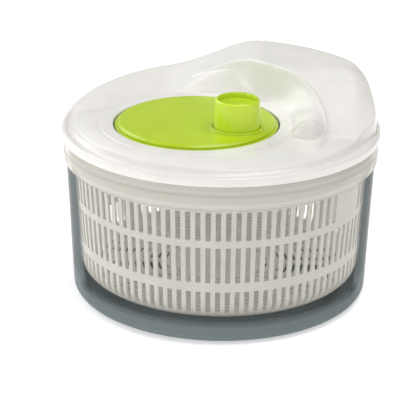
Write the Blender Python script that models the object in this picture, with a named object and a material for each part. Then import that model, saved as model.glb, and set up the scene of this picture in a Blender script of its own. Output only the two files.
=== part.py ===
"""Hand-cranked salad spinner with an off-centre crank disc.

A clear bowl holds a slotted basket that turns on a pin in the bowl's floor.
The lid carries a round crank disc whose axis stands away from the bowl's centre.
An internal ring gear under the disc turns a small pinion on the centre axis, and
the pinion's shaft turns a drive plate whose two tongues take the basket along.

Lengths below are millimetres; MM turns them into Blender's metres.
+Z is up, the origin is on the table under the bowl's centre, and -Y is the front.
"""
import math

import bmesh
import bpy

for leftover in list(bpy.data.objects):
    bpy.data.objects.remove(leftover, do_unlink=True)

MM = 0.001
GAP = 0.3            # clearance between pieces that touch

# ---- driving dimensions -------------------------------------------------------
LIP_R = 125.0        # lid lip, the widest circle of the object
LIP_LOW = 129.6      # underside of the lip
LIP_TOP = 136.4      # crest of the lip bead
RIM_R = 123.8        # bowl collar
STEP_Z = 110.7       # step where the collar starts
STEP_R = 121.3       # bowl wall just under the collar
FOOT_R = 117.0       # bowl wall just above its bottom corner
COLLAR_Z = 122.0     # the collar has its full width from here up
BOWL_WALL = 2.5
BASE_LIFT = 0.8      # the grip ring holds the bowl this far off the table

BASKET_TOP = 121.9
BASKET_RIM_R = 118.2
BASKET_WALL = 1.8
BASKET_FLOOR = 17.0
BASKET_RIM_LOW = 119.6               # underside of the rim's flange
NECK_Z, NECK_R = 108.0, 116.5        # the wall's taper ends in a steeper neck
CORNER_Z, CORNER_R = 30.0, 111.5     # the round bottom corner starts here
CORNER_REACH = 11.5                  # how far the corner draws in
SLOT_TIERS = ((106.4, 83.5), (77.7, 48.9), (41.3, 22.3))
SLOT_COUNT = 72
SLOT_SHARE = 0.52    # slot width over slot pitch
PANEL_AZ = math.radians(-32.6)
PANEL_HALF = math.radians(7.0)
RIB_SPAN = math.radians(4.2)         # angle that a drive rib covers beside its panel
RIB_DEPTH = 2.6

MODULE = 2.0
RING_TEETH = 42
PINION_TEETH = 15
OFFSET = MODULE * (RING_TEETH - PINION_TEETH) / 2        # 27 mm between the two axes
OFFSET_AZ = math.radians(225.0)
CRANK_X = OFFSET * math.cos(OFFSET_AZ)
CRANK_Y = OFFSET * math.sin(OFFSET_AZ)

PLATFORM_R = 75.0    # raised round seat of the crank disc
SEAT_R = PLATFORM_R + 2.0            # foot of the seat's rounded edge
PLATFORM_TOP = 143.2
WELL_R = 64.5        # recess that the disc turns in
WELL_FLOOR = 133.0
FLOOR_THICK = 2.2
DISC_R = 61.3
DISC_TOP = 145.4
DISC_UNDER = 142.6
FLANGE_R = 63.2
HUB_BORE = 10.3      # hole in the well's floor for the crank's bush
SHAFT_BORE = 6.3     # hole in the well's floor for the shaft's bush

KNOB_ARM = 36.4      # crank axis to knob axis
KNOB_AZ = math.radians(-31.6)
KNOB_X = CRANK_X + KNOB_ARM * math.cos(KNOB_AZ)
KNOB_Y = CRANK_Y + KNOB_ARM * math.sin(KNOB_AZ)
KNOB_R = 18.0
KNOB_TOP = 169.0
COLLAR_R = 20.7
COLLAR_TOP = 147.2

HOOD_RISE = 31.0     # hood top over the plain lid
HOOD_START = -52.0   # where the hood's side ramps begin
HOOD_LENGTH = 86.0

ROUND = 48           # sides of the large round pieces
DISC_SIDES = 36      # sides of the crank disc
KNOB_SIDES = 24
SCREW_SIDES = 10
SMALL = 16           # sides of the small round pieces


# ---- materials and mesh helpers -------------------------------------------------
def material(name, colour, roughness, metallic=0.0, alpha=1.0):
    mat = bpy.data.materials.new(name)
    mat.use_nodes = True
    shader = mat.node_tree.nodes["Principled BSDF"]
    shader.inputs["Base Color"].default_value = (*colour, 1.0)
    shader.inputs["Roughness"].default_value = roughness
    shader.inputs["Metallic"].default_value = metallic
    shader.inputs["Alpha"].default_value = alpha
    return mat


WHITE = material("white_plastic", (0.86, 0.85, 0.82), 0.30)
BASKET_WHITE = material("basket_plastic", (0.78, 0.76, 0.71), 0.42)
CLEAR = material("smoke_clear_plastic", (0.42, 0.47, 0.48), 0.06, alpha=0.35)
GREEN = material("lime_plastic", (0.46, 0.66, 0.05), 0.26)
GEAR_WHITE = material("gear_plastic", (0.80, 0.79, 0.74), 0.38)
STEEL = material("steel", (0.62, 0.62, 0.60), 0.28, metallic=1.0)
SILICONE = material("grip_silicone", (0.55, 0.58, 0.58), 0.75)


def axis_empty(name, x=0.0, y=0.0, z=0.0, parent=None):
    """An empty that stands on a joint's axis and carries the pieces that move with it."""
    empty = bpy.data.objects.new(name, None)
    bpy.context.scene.collection.objects.link(empty)
    empty.location = (x * MM, y * MM, z * MM)
    if parent:
        empty.parent = parent
        empty.location = empty.location - parent_place(parent)
    return empty


def parent_place(empty):
    place = empty.location.copy()
    while empty.parent:
        empty = empty.parent
        place += empty.location
    return place


def to_object(name, bm, mat, carrier, x=0.0, y=0.0, sharp=32.0):
    """Close the mesh's normals, link it, and stand it at (x, y) under its carrier."""
    bmesh.ops.recalc_face_normals(bm, faces=bm.faces)
    mesh = bpy.data.meshes.new(name)
    bm.to_mesh(mesh)
    bm.free()
    mesh.shade_smooth()
    mesh.set_sharp_from_angle(angle=math.radians(sharp))
    mesh.materials.append(mat)
    obj = bpy.data.objects.new(name, mesh)
    bpy.context.scene.collection.objects.link(obj)
    obj.parent = carrier
    obj.location = (x * MM, y * MM, 0.0)
    obj.location -= parent_place(carrier)
    return obj


def ring(bm, points):
    return [bm.verts.new((px * MM, py * MM, pz * MM)) for px, py, pz in points]


def circle(radius, z, sides, x=0.0, y=0.0, turn=0.0):
    return [(x + radius * math.cos(turn + math.tau * i / sides),
             y + radius * math.sin(turn + math.tau * i / sides), z) for i in range(sides)]


def bridge(bm, lower, upper, skip=None):
    """Faces between two rings; the second ring may have a whole number of times fewer points."""
    step = len(lower) // len(upper)
    for j in range(len(upper)):
        if skip and skip(j):
            continue
        outer = [lower[(j * step + k) % len(lower)] for k in range(step + 1)]
        bm.faces.new(outer + [upper[(j + 1) % len(upper)], upper[j]])


def loft_loop(rings):
    """A closed band of rings: the last ring joins the first, as round a torus."""
    bm = bmesh.new()
    loops = [ring(bm, points) for points in rings]
    for i, loop in enumerate(loops):
        bridge(bm, loop, loops[(i + 1) % len(loops)])
    return bm


def loft_solid(rings):
    """A stack of rings closed by a flat face at each end."""
    bm = bmesh.new()
    loops = [ring(bm, points) for points in rings]
    for lower, upper in zip(loops, loops[1:]):
        bridge(bm, lower, upper)
    bm.faces.new(list(reversed(loops[0])))
    bm.faces.new(loops[-1])
    return bm


def lathe(outline, sides):
    """Turn a closed outline of (radius, z) about the vertical axis."""
    if all(r > 0 for r, _ in outline):
        return loft_loop([circle(r, z, sides) for r, z in outline])
    bm = bmesh.new()
    loops = [ring(bm, circle(r, z, sides)) if r > 0 else [bm.verts.new((0, 0, z * MM))]
             for r, z in outline]
    for i, loop in enumerate(loops):
        following = loops[(i + 1) % len(loops)]
        if len(loop) == 1 and len(following) == 1:
            continue
        for j in range(sides):
            k = (j + 1) % sides
            if len(loop) == 1:
                bm.faces.new((loop[0], following[j], following[k]))
            elif len(following) == 1:
                bm.faces.new((loop[j], following[0], loop[k]))
            else:
                bm.faces.new((loop[j], following[j], following[k], loop[k]))
    return bm


def tube_bm(inner, outer, low, high, sides):
    return lathe([(inner, low), (outer, low), (outer, high), (inner, high)], sides)


def cut_or_join(target, tool_bm, operation, x=0.0, y=0.0):
    """Leave a Boolean on the target; its tool stays as a wire guide."""
    tool = to_object(f"guide_{target.name}_{len(target.modifiers)}", tool_bm,
                     target.data.materials[0], target.parent, x, y)
    tool.hide_render = True
    tool.display_type = "WIRE"
    boolean = target.modifiers.new(operation.lower(), "BOOLEAN")
    boolean.operation = operation
    boolean.object = tool


def smoothstep(t):
    t = min(1.0, max(0.0, t))
    return t * t * (3.0 - 2.0 * t)


# ---- bowl -----------------------------------------------------------------------
GRIP_IN, GRIP_OUT, GRIP_TOP = 88.0, 98.0, 2.2
POST_R, POST_TOP = 4.2, 14.0
BOWL_FLOOR = 3.8
CORNER_WIDE, CORNER_TALL = 9.0, 11.0                     # the bowl's rounded bottom corner


def make_bowl(carrier):
    """Clear bowl: flat base with a groove for the grip ring, tapering wall, wider collar."""
    corner = [(FOOT_R - CORNER_WIDE * (1.0 - math.sin(a)), BASE_LIFT + CORNER_TALL * (1.0 - math.cos(a)))
              for a in (math.radians(d) for d in (10, 35, 62, 90))]
    outside = corner + [
        (STEP_R, STEP_Z), (STEP_R + 0.8, STEP_Z + 0.6), (RIM_R - 0.7, COLLAR_Z - 5.5),
        (RIM_R, COLLAR_Z), (RIM_R, LIP_LOW - GAP)]
    inside = [
        (RIM_R - 2.4, LIP_LOW - GAP), (RIM_R - BOWL_WALL, COLLAR_Z), (RIM_R - 3.4, COLLAR_Z - 6.5),
        (STEP_R - BOWL_WALL, STEP_Z - 2.0), (FOOT_R - BOWL_WALL, 10.0),
        (FOOT_R - 4.6, 5.6), (FOOT_R - 8.0, BOWL_FLOOR),
        (POST_R + 2.4, BOWL_FLOOR), (POST_R + 0.4, BOWL_FLOOR + 2.0), (POST_R - 0.2, POST_TOP)]
    base = [
        (GRIP_IN - GAP, BASE_LIFT), (GRIP_IN - GAP, GRIP_TOP + GAP),
        (GRIP_OUT + GAP, GRIP_TOP + GAP), (GRIP_OUT + GAP, BASE_LIFT)]
    outline = [(0.0, BASE_LIFT)] + base + outside + inside + [(0.0, POST_TOP)]
    return to_object("bowl", lathe(outline, ROUND), CLEAR, carrier)


def make_grip_ring(carrier):
    """Soft ring in the groove under the bowl; the spinner stands on it."""
    outline = [(GRIP_IN, GRIP_TOP), (GRIP_IN, 0.6), (GRIP_IN + 0.8, 0.0),
               (GRIP_OUT - 0.8, 0.0), (GRIP_OUT, 0.6), (GRIP_OUT, GRIP_TOP)]
    return to_object("grip_ring", lathe(outline, ROUND), SILICONE, carrier)


# ---- basket ---------------------------------------------------------------------
BUSH_R, BUSH_LOW, BUSH_TOP = 7.0, 8.0, 15.8


def make_pivot_bush(carrier):
    """Cap on the bowl's pin; the basket's centre turns on it."""
    outline = [(0.0, BUSH_TOP), (BUSH_R - 0.8, BUSH_TOP), (BUSH_R, BUSH_TOP - 0.8),
               (BUSH_R, BUSH_LOW), (POST_R + 0.6, BUSH_LOW), (POST_R + GAP, POST_TOP + GAP),
               (0.0, POST_TOP + GAP)]
    return to_object("pivot_bush", lathe(outline, SMALL), GEAR_WHITE, carrier)


def basket_radius(z):
    """Outer radius of the basket's wall: a taper that ends in a round bottom corner."""
    if z >= NECK_Z:
        return NECK_R + (z - NECK_Z) * 0.06
    if z >= CORNER_Z:
        return CORNER_R + (z - CORNER_Z) * (NECK_R - CORNER_R) / (NECK_Z - CORNER_Z)
    lean = (CORNER_Z - z) / (CORNER_Z - BASKET_FLOOR)
    return CORNER_R - CORNER_REACH * (1.0 - math.sqrt(max(0.0, 1.0 - lean * lean)))


def column_angles(count):
    """Edges of the bars and slots, with a slot's middle at the very front."""
    pitch = math.tau / count
    slot = pitch * SLOT_SHARE
    angles = []
    for i in range(count):
        middle = -math.pi / 2 + i * pitch
        angles += [middle - slot / 2, middle + slot / 2]
    return angles


def in_panel(angle):
    """True on the two plain panels of the top tier, where the drive tongues stand."""
    for side in (0.0, math.pi):
        away = (angle - PANEL_AZ - side + math.pi) % math.tau - math.pi
        if abs(away) < PANEL_HALF:
            return True
    return False


def beside_panel(angle):
    """True on the bars at both edges of a panel, which carry the drive ribs."""
    for side in (0.0, math.pi):
        away = (angle - PANEL_AZ - side + math.pi) % math.tau - math.pi
        if PANEL_HALF <= abs(away) < PANEL_HALF + RIB_SPAN:
            return True
    return False


FLOOR_COLUMNS = 24
FLOOR_SLOT = 6.0     # width of the floor's arc slots
FLOOR_RINGS = tuple((r, r - FLOOR_SLOT) for r in (96.0, 84.0, 72.0, 60.0, 48.0))
CUP_IN, CUP_OUT, CUP_LOW = 7.4, 9.6, 9.0


def make_basket(carrier):
    """Slotted basket: three tiers of upright slots, a slotted floor and a centre cup."""
    angles = column_angles(SLOT_COUNT)
    bm = bmesh.new()

    heights = [BASKET_TOP, BASKET_RIM_LOW, BASKET_RIM_LOW - 0.6]
    for high, low in SLOT_TIERS:
        heights += [high, low]
    open_rows = [3 + 2 * tier for tier in range(len(SLOT_TIERS))]
    outer, inner = [], []
    for row, z in enumerate(heights):
        radius = BASKET_RIM_R if row < 2 else basket_radius(z)
        rib = RIB_DEPTH if z in SLOT_TIERS[0] else 0.0
        outer.append(ring(bm, [(radius * math.cos(a), radius * math.sin(a), z) for a in angles]))
        points = []
        for a in angles:
            depth = BASKET_WALL + (1.2 if row < 2 else 0.0) + (rib if beside_panel(a) else 0.0)
            lift = BASKET_WALL * 0.6 if row == len(heights) - 1 else 0.0
            r = radius - depth
            points.append((r * math.cos(a), r * math.sin(a), z + lift))
        inner.append(ring(bm, points))

    def opened(row, column):
        if row not in open_rows or column % 2:
            return False
        count = len(angles)
        middle = (angles[column % count] + angles[(column + 1) % count]) / 2
        return not (row == open_rows[0] and in_panel(middle))

    pierce(bm, outer, inner, opened)
    bridge(bm, outer[0], inner[0])

    turned = angles[0]
    floor_out, floor_in, floor_open = [], [], []
    for high, low in FLOOR_RINGS:
        for r in (high, low):
            floor_out.append(ring(bm, circle(r, BASKET_FLOOR, FLOOR_COLUMNS, turn=turned)))
            floor_in.append(ring(bm, circle(r, BASKET_FLOOR + BASKET_WALL, FLOOR_COLUMNS,
                                            turn=turned)))
        floor_open.append(len(floor_out) - 2)
    pierce(bm, floor_out, floor_in, lambda row, column: row in floor_open and column % 2 == 0)

    foot = CORNER_R - CORNER_REACH
    corner_out = ring(bm, [(foot * math.cos(a), foot * math.sin(a), BASKET_FLOOR) for a in angles])
    foot -= 1.4
    corner_in = ring(bm, [(foot * math.cos(a), foot * math.sin(a), BASKET_FLOOR + BASKET_WALL)
                          for a in angles])
    bridge(bm, outer[-1], corner_out)
    bridge(bm, corner_out, floor_out[0])
    bridge(bm, inner[-1], corner_in)
    bridge(bm, corner_in, floor_in[0])

    cup = [(CUP_OUT, BASKET_FLOOR), (CUP_OUT, CUP_LOW), (CUP_IN, CUP_LOW),
           (CUP_IN, BUSH_TOP + GAP)]
    last = floor_out[-1]
    for r, z in cup:
        following = ring(bm, circle(r, z, FLOOR_COLUMNS, turn=turned))
        bridge(bm, last, following)
        last = following
    bm.faces.new(last)
    bm.faces.new(floor_in[-1])
    return to_object("basket", bm, BASKET_WHITE, carrier)


def pierce(bm, outer, inner, opened):
    """Two skins of quads with openings; each opening's edges join the skins."""
    rows, columns = len(outer) - 1, len(outer[0])
    for i in range(rows):
        for j in range(columns):
            k = (j + 1) % columns
            if not opened(i, j):
                bm.faces.new((outer[i][j], outer[i][k], outer[i + 1][k], outer[i + 1][j]))
                bm.faces.new((inner[i][j], inner[i + 1][j], inner[i + 1][k], inner[i][k]))
                continue
            for a, b in (((i, j), (i, k)), ((i, k), (i + 1, k)),
                         ((i + 1, k), (i + 1, j)), ((i + 1, j), (i, j))):
                bm.faces.new((outer[a[0]][a[1]], outer[b[0]][b[1]],
                              inner[b[0]][b[1]], inner[a[0]][a[1]]))


# ---- lid ------------------------------------------------------------------------
GROOVE_R = 120.3
GROOVE_Z = 135.3
SKIRT_LOW = 122.2
SKIRT_OUT, SKIRT_IN = 120.5, 118.3
LID_THICK = 2.4
SHOULDER_R = 102.0   # the top starts to turn down towards its edge here
EDGE_R, EDGE_DROP = 113.6, 1.6       # soft outer edge of the plain lid
COVE_R = 118.2       # foot of the hollow wall under that edge
HOOD_EDGE_OUT, HOOD_COVE_OUT, HOOD_EDGE_DROP = 5.4, 1.9, 4.0     # the same, further out
BLEND_R = 107.0      # outermost ring that is shifted towards the crank's seat
BEAD_R, BEAD_HALF = 122.6, 2.4       # middle and half width of the lip's bead
LID_Z = 141.0        # plain lid at its middle
LID_TILT = 0.022     # the plain lid's rise per mm towards the hood
SCOOP_Z = 145.5      # foot of the hood's hollow inner face
SCOOP_BULGE, SCOOP_CURVE = 3.5, 1.6  # swell of that face, and how it steepens to its crease
CREASE_FAR, CREASE_MIDDLE = 80.2, -33.0        # the crease is furthest out at its middle
NOSE = -53.0         # front end of the hood's inner face
HOOD_STEP = 2.2      # low step at the foot of the hood's front side
EDGE_FOOT = 131.5    # height that the swept edge falls to at the lip


def crease_x(y):
    """Plan of the crease that bounds the hood's inner face (mirrored for the back side)."""
    before_bend, behind_bend, flattens = 0.0056, 0.0082, 155.0
    away = y - CREASE_MIDDLE
    if away < 0.0:
        return CREASE_FAR - before_bend * away ** 2
    return CREASE_FAR - behind_bend * away ** 2 / (1.0 + (away / flattens) ** 2)


def swept_rim(azimuth):
    """Height of the lid's edge where it sweeps up behind the crank, left of the hood."""
    starts, spans, low, rise = 176.0, 60.0, 137.0, 13.0
    t = min(1.0, max(0.0, (starts - azimuth) / spans))
    return low + rise * (0.6 * t + 0.4 * math.sin(t * math.pi / 2))


def sweep_share(azimuth):
    """1 where the swept edge replaces the beaded lip, 0 at the front and the right."""
    left, left_fade, right, right_fade = 178.0, 14.0, 6.0, 24.0
    return (smoothstep((left - azimuth) / left_fade)
            * smoothstep((azimuth - right) / right_fade))


def lid_body(x, y):
    """Height of the lid's top inside its shoulder: plain dish, swept edge and hood."""
    r = math.hypot(x, y)
    azimuth = math.degrees(math.atan2(y, x))
    towards_hood = (x + y) / math.sqrt(2.0)
    from_seat = math.hypot(x - CRANK_X, y - CRANK_Y) - SEAT_R
    plain = LID_Z + LID_TILT * towards_hood
    flush = smoothstep(-towards_hood / 60.0) * (1.0 - smoothstep(from_seat / 34.0))
    plain += (PLATFORM_TOP - 0.2 - plain) * flush
    share = sweep_share(azimuth)
    plain += share * (swept_rim(azimuth) - plain) * smoothstep((r - 80.0) / 38.0)

    ramp = smoothstep((min(x, y) - HOOD_START) / HOOD_LENGTH)
    step_fade, side_fade = 9.0, 20.0
    step = (HOOD_STEP * smoothstep((y - NOSE) / step_fade)
            * smoothstep((x - y) / side_fade))
    hood = LID_Z + step + (HOOD_RISE - step) * ramp + (plain - LID_Z) * (1.0 - ramp) ** 2

    to_crease = min(crease_x(y) - x, crease_x(x) - y)
    if to_crease <= 0.0:
        return max(plain, hood)
    t = min(1.0, max(0.0, from_seat / (from_seat + to_crease))) if from_seat > 0.0 else 0.0
    if x < y:
        return left_scoop(x, t, hood, plain)
    return plain + max(0.0, right_scoop(y, t, hood) - plain) * behind_nose(x, y)


def left_scoop(x, t, hood, plain):
    """Inner face of the hood's left side: it fades into the plain lid, with no nose."""
    ends, fade = -45.0, 35.0
    shown = smoothstep((x - ends) / fade)
    foot = plain + (SCOOP_Z - plain) * shown
    bulge = SCOOP_BULGE * shown * math.sin(math.pi * t)
    return max(plain, foot + (hood - foot) * t ** SCOOP_CURVE + bulge)


def right_scoop(y, t, hood):
    """Inner face of the hood's right side: it swells into a rounded nose at the front."""
    nose_length, nose_bulge, nose_blunt = 20.0, 8.0, 0.4
    at_nose = math.exp(-((y - NOSE) / nose_length) ** 2)
    swell = math.sin(math.pi * t) ** (1.0 - nose_blunt * at_nose)
    bulge = (SCOOP_BULGE + nose_bulge * at_nose) * swell
    return SCOOP_Z + (hood - SCOOP_Z) * t ** SCOOP_CURVE + bulge


def behind_nose(x, y):
    """0 in front of the nose's rounded end, 1 behind it."""
    inner, inner_slope, outer, outer_slope, fade = 68.0, 0.56, 69.0, 1.1, 5.0
    nose = NOSE + inner_slope * max(0.0, inner - x) + outer_slope * max(0.0, x - outer)
    return smoothstep((y - nose) / fade + 0.5)


def lid_top(x, y):
    """Height of the lid's outside between the crank's seat and the groove or swept edge."""
    r = math.hypot(x, y)
    azimuth = math.degrees(math.atan2(y, x))
    body = lid_body(x, y)
    if r <= SHOULDER_R:
        return body
    share = sweep_share(azimuth)
    hooded = smoothstep((body - LID_Z - 1.0) / 10.0)
    edge_r = EDGE_R + HOOD_EDGE_OUT * hooded
    cove_r = COVE_R + HOOD_COVE_OUT * hooded
    drop = EDGE_DROP + HOOD_EDGE_DROP * smoothstep((body - LID_Z - 5.0) / 20.0)
    t = min(1.0, (r - SHOULDER_R) / (edge_r - SHOULDER_R))
    beaded = body - drop * 2.0 * smoothstep(t / 2.0)
    if r > edge_r:
        t = min(1.0, (r - edge_r) / (cove_r - edge_r))
        beaded = GROOVE_Z + (body - drop - GROOVE_Z) * (1.0 - t) ** 2
    if r > GROOVE_R:
        across = min(1.0, abs(r - BEAD_R) / BEAD_HALF)
        beaded = LIP_TOP - 2.2 + 2.2 * math.sqrt(1.0 - across * across)
    t = min(1.0, (r - SHOULDER_R) / (LIP_R - SHOULDER_R))
    swept = EDGE_FOOT + (body - EDGE_FOOT) * (1.0 - t ** 6) ** (1 / 6)
    return beaded + share * (swept - beaded)


def lid_under(x, y):
    """Height of the lid's inside, one wall thickness in from the outside."""
    r = math.hypot(x, y)
    shifts = [(r + shift) / r for shift in (-LID_THICK, 0.0, LID_THICK)]
    return min(lid_top(x * k, y * k) for k in shifts) - LID_THICK


def blend_ring(t):
    """Plan of a ring that passes from the crank's round seat to the lid's own circles."""
    radius = SEAT_R * (1.0 - t) + BLEND_R * t
    return circle(radius, 0.0, ROUND, CRANK_X * (1.0 - t), CRANK_Y * (1.0 - t))


def on_height(points, height):
    return [(x, y, height(x, y)) for x, y, _ in points]


def well_ring(radius, z):
    return circle(radius, z, ROUND, CRANK_X, CRANK_Y)


def make_lid(carrier):
    """One moulded shell: well with floor, crank seat, top with hood, lip and skirt."""
    blends = [blend_ring(t) for t in (0.0, 0.22, 0.45, 0.7, 1.0)]
    falls = [circle(r, 0.0, ROUND) for r in (110.5, EDGE_R, 115.4, 117.2, 118.9, GROOVE_R)]
    bead = [circle(r, 0.0, ROUND) for r in (121.2, BEAD_R, 124.2)]
    rings = [well_ring(HUB_BORE, WELL_FLOOR), well_ring(WELL_R, WELL_FLOOR),
             well_ring(WELL_R, PLATFORM_TOP), well_ring(PLATFORM_R, PLATFORM_TOP)]
    rings += [on_height(points, lid_top) for points in blends + falls + bead]
    rings += [circle(LIP_R, 133.4, ROUND), circle(LIP_R, LIP_LOW, ROUND),
              circle(SKIRT_OUT + 0.2, LIP_LOW, ROUND), circle(SKIRT_OUT, SKIRT_LOW, ROUND),
              circle(SKIRT_IN, SKIRT_LOW, ROUND), circle(SKIRT_IN - 0.2, 130.5, ROUND)]
    inside = [circle(r, 0.0, ROUND) for r in (117.6, 115.0, 111.5)] + list(reversed(blends))
    rings += [on_height(points, lid_under) for points in inside]
    outer_well = WELL_R + FLOOR_THICK
    rings += [well_ring(outer_well, PLATFORM_TOP - FLOOR_THICK - 0.4),
              well_ring(outer_well, WELL_FLOOR - FLOOR_THICK),
              well_ring(HUB_BORE, WELL_FLOOR - FLOOR_THICK)]
    lid = to_object("lid_shell", loft_loop(rings), WHITE, carrier)
    hole = loft_solid([circle(SHAFT_BORE, z, SMALL)
                       for z in (WELL_FLOOR - 8.0, WELL_FLOOR + 5.0)])
    cut_or_join(lid, hole, "DIFFERENCE")
    return lid


BUSH_FOOT, BUSH_HEAD = 129.5, 134.2


def make_flanged_bush(name, carrier, bore, outer, flange, x, y):
    """Plastic bearing: a tube through the well's floor with a flange on top of it."""
    outline = [(bore, BUSH_FOOT), (outer, BUSH_FOOT), (outer, WELL_FLOOR + GAP),
               (flange, WELL_FLOOR + GAP), (flange, BUSH_HEAD), (bore, BUSH_HEAD)]
    return to_object(name, lathe(outline, SMALL), GEAR_WHITE, carrier, x, y)


# ---- crank ----------------------------------------------------------------------
RING_LOW, RING_HIGH = 134.9, 140.6
RING_OUTER = 50.5
RING_SEAT = 45.2     # inside of the groove in the disc that centres the ring gear
FLANGE_TOP, FLANGE_LOW = 142.0, 141.0
FLANGE_IN = 60.0
HUB_R, HUB_LOW = 8.5, 134.6
JOURNAL_LOW = 129.3
PILOT_R, PILOT_TOP = 1.9, 139.0      # hole for the crank's screw
KNOB_POST_R, KNOB_PILOT_R, KNOB_PILOT_LOW = 6.0, 1.7, 147.0
GEAR_PILOT_R, COUNTERBORE_R = 1.3, 2.4
ADDENDUM = 1.7       # tooth height beyond the pitch circle, the same on both gears
SCREW_ARM = 47.5
JOURNAL_R = 6.8
POST_KNOB_TOP = 160.0
GEAR_SCREW_ANGLES = tuple(math.radians(d) for d in (-15.0, 105.0, 225.0))


def make_crank_disc(carrier):
    """Green disc with a bevelled edge, a hub that turns in the lid, and the knob's post."""
    outline = [
        (0.0, DISC_TOP), (DISC_R - 2.5, DISC_TOP), (DISC_R - 0.4, DISC_TOP - 0.9),
        (DISC_R, DISC_TOP - 1.8), (DISC_R, FLANGE_TOP + GAP),
        (FLANGE_R, FLANGE_TOP), (FLANGE_R, FLANGE_LOW), (FLANGE_IN, FLANGE_LOW),
        (FLANGE_IN, DISC_UNDER), (RING_OUTER, DISC_UNDER), (RING_OUTER, RING_HIGH + GAP),
        (RING_SEAT, RING_HIGH + GAP), (RING_SEAT, DISC_UNDER), (HUB_R, DISC_UNDER),
        (HUB_R, HUB_LOW), (JOURNAL_R, HUB_LOW), (JOURNAL_R, JOURNAL_LOW),
        (PILOT_R, JOURNAL_LOW), (PILOT_R, PILOT_TOP), (0.0, PILOT_TOP)]
    disc = to_object("crank_disc", lathe(outline, DISC_SIDES), GREEN, carrier, CRANK_X, CRANK_Y)
    low = DISC_UNDER + 1.0
    collar = lathe([(KNOB_R + GAP, low), (COLLAR_R, low), (COLLAR_R, COLLAR_TOP),
                    (KNOB_R + GAP, COLLAR_TOP)], KNOB_SIDES)
    cut_or_join(disc, collar, "UNION", KNOB_X, KNOB_Y)
    post = lathe([(KNOB_PILOT_R, KNOB_PILOT_LOW), (KNOB_PILOT_R, POST_KNOB_TOP),
                  (KNOB_POST_R, POST_KNOB_TOP), (KNOB_POST_R, low),
                  (0.0, low), (0.0, KNOB_PILOT_LOW)], SMALL)
    cut_or_join(disc, post, "UNION", KNOB_X, KNOB_Y)
    for angle in GEAR_SCREW_ANGLES:
        hole = loft_solid([circle(GEAR_PILOT_R, z, SCREW_SIDES)
                           for z in (RING_HIGH - 1.6, DISC_TOP - 1.0)])
        cut_or_join(disc, hole, "DIFFERENCE", CRANK_X + SCREW_ARM * math.cos(angle),
                    CRANK_Y + SCREW_ARM * math.sin(angle))
    return disc


def tooth_points(teeth, root, tip, z, turn, root_share, tip_share):
    """One ring of points along straight-sided teeth; a tooth's middle stands at turn."""
    pitch = math.tau / teeth
    points = []
    for i in range(teeth):
        middle = turn + i * pitch
        for radius, share in ((root, -root_share), (tip, -tip_share),
                              (tip, tip_share), (root, root_share)):
            angle = middle + share * pitch
            points.append((radius * math.cos(angle), radius * math.sin(angle), z))
    return points


def make_ring_gear(carrier):
    """Internal gear under the disc, 42 teeth; a space stands where the pinion meshes."""
    pitch_r = MODULE * RING_TEETH / 2
    turn = OFFSET_AZ - math.pi + math.pi / RING_TEETH
    bm = bmesh.new()
    inner, outer = [], []
    for z in (RING_LOW, RING_HIGH):
        inner.append(ring(bm, tooth_points(RING_TEETH, pitch_r + 2.4, pitch_r - ADDENDUM, z,
                                           turn, 0.34, 0.12)))
        outer.append(ring(bm, circle(RING_OUTER, z, RING_TEETH, turn=turn - math.pi / RING_TEETH)))
    bridge(bm, inner[0], inner[1])
    bridge(bm, outer[0], outer[1])
    count = len(inner[0])
    for low_high in range(2):
        for i in range(RING_TEETH):
            tooth = [inner[low_high][(4 * i + k) % count] for k in range(5)]
            edge = [outer[low_high][(i + 1) % RING_TEETH], outer[low_high][i]]
            bm.faces.new(tooth + edge)
    gear = to_object("ring_gear", bm, GEAR_WHITE, carrier, CRANK_X, CRANK_Y)
    for angle in GEAR_SCREW_ANGLES:
        low, seat, high = RING_LOW - 1.9, RING_LOW + 1.4, RING_HIGH + 1.4
        hole = lathe([(0.0, low), (COUNTERBORE_R, low), (COUNTERBORE_R, seat),
                      (GEAR_PILOT_R, seat), (GEAR_PILOT_R, high), (0.0, high)], SCREW_SIDES)
        cut_or_join(gear, hole, "DIFFERENCE", CRANK_X + SCREW_ARM * math.cos(angle),
                    CRANK_Y + SCREW_ARM * math.sin(angle))
    return gear


def make_screw(name, carrier, head_z, tip_z, head_r, shank_r, x, y, head_thick=1.3):
    """Pan-head screw with a round drive recess; its tip may point up or down."""
    way = 1.0 if tip_z > head_z else -1.0
    under = head_z + way * head_thick
    outline = [(0.0, head_z + way * 0.7), (head_r * 0.35, head_z + way * 0.7),
               (head_r * 0.35, head_z), (head_r * 0.8, head_z), (head_r, head_z + way * 0.5),
               (head_r, under), (shank_r, under), (shank_r, tip_z - way * 0.8), (0.0, tip_z)]
    return to_object(name, lathe(outline, SCREW_SIDES), STEEL, carrier, x, y)


# ---- knob -----------------------------------------------------------------------
CAP_TOP, CAP_LOW = 165.2, 163.2
CAP_R = 14.3
SLEEVE_IN, SLEEVE_OUT = KNOB_POST_R + GAP, 8.6
SLEEVE_LOW, SLEEVE_HIGH = 146.2, 158.2
NECK_IN = 9.5        # space over the post for the washer and the screw's head


def make_knob(carrier):
    """Turning grip: tapered outside, raised rim round the cup, sleeve on the disc's post."""
    outline = [
        (KNOB_R, DISC_TOP + GAP), (KNOB_R - 1.0, KNOB_TOP - 2.2), (KNOB_R - 1.6, KNOB_TOP - 0.5),
        (CAP_R + 1.2, KNOB_TOP), (CAP_R + 0.5, KNOB_TOP - 0.6), (CAP_R + GAP, CAP_LOW - GAP),
        (NECK_IN, CAP_LOW - GAP), (NECK_IN, POST_KNOB_TOP), (SLEEVE_IN, POST_KNOB_TOP),
        (SLEEVE_IN, SLEEVE_LOW), (SLEEVE_OUT, SLEEVE_LOW), (SLEEVE_OUT, SLEEVE_HIGH),
        (KNOB_R - 2.6, SLEEVE_HIGH), (KNOB_R - 1.8, DISC_TOP + GAP)]
    return to_object("knob", lathe(outline, KNOB_SIDES), GREEN, carrier, KNOB_X, KNOB_Y)


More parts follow.
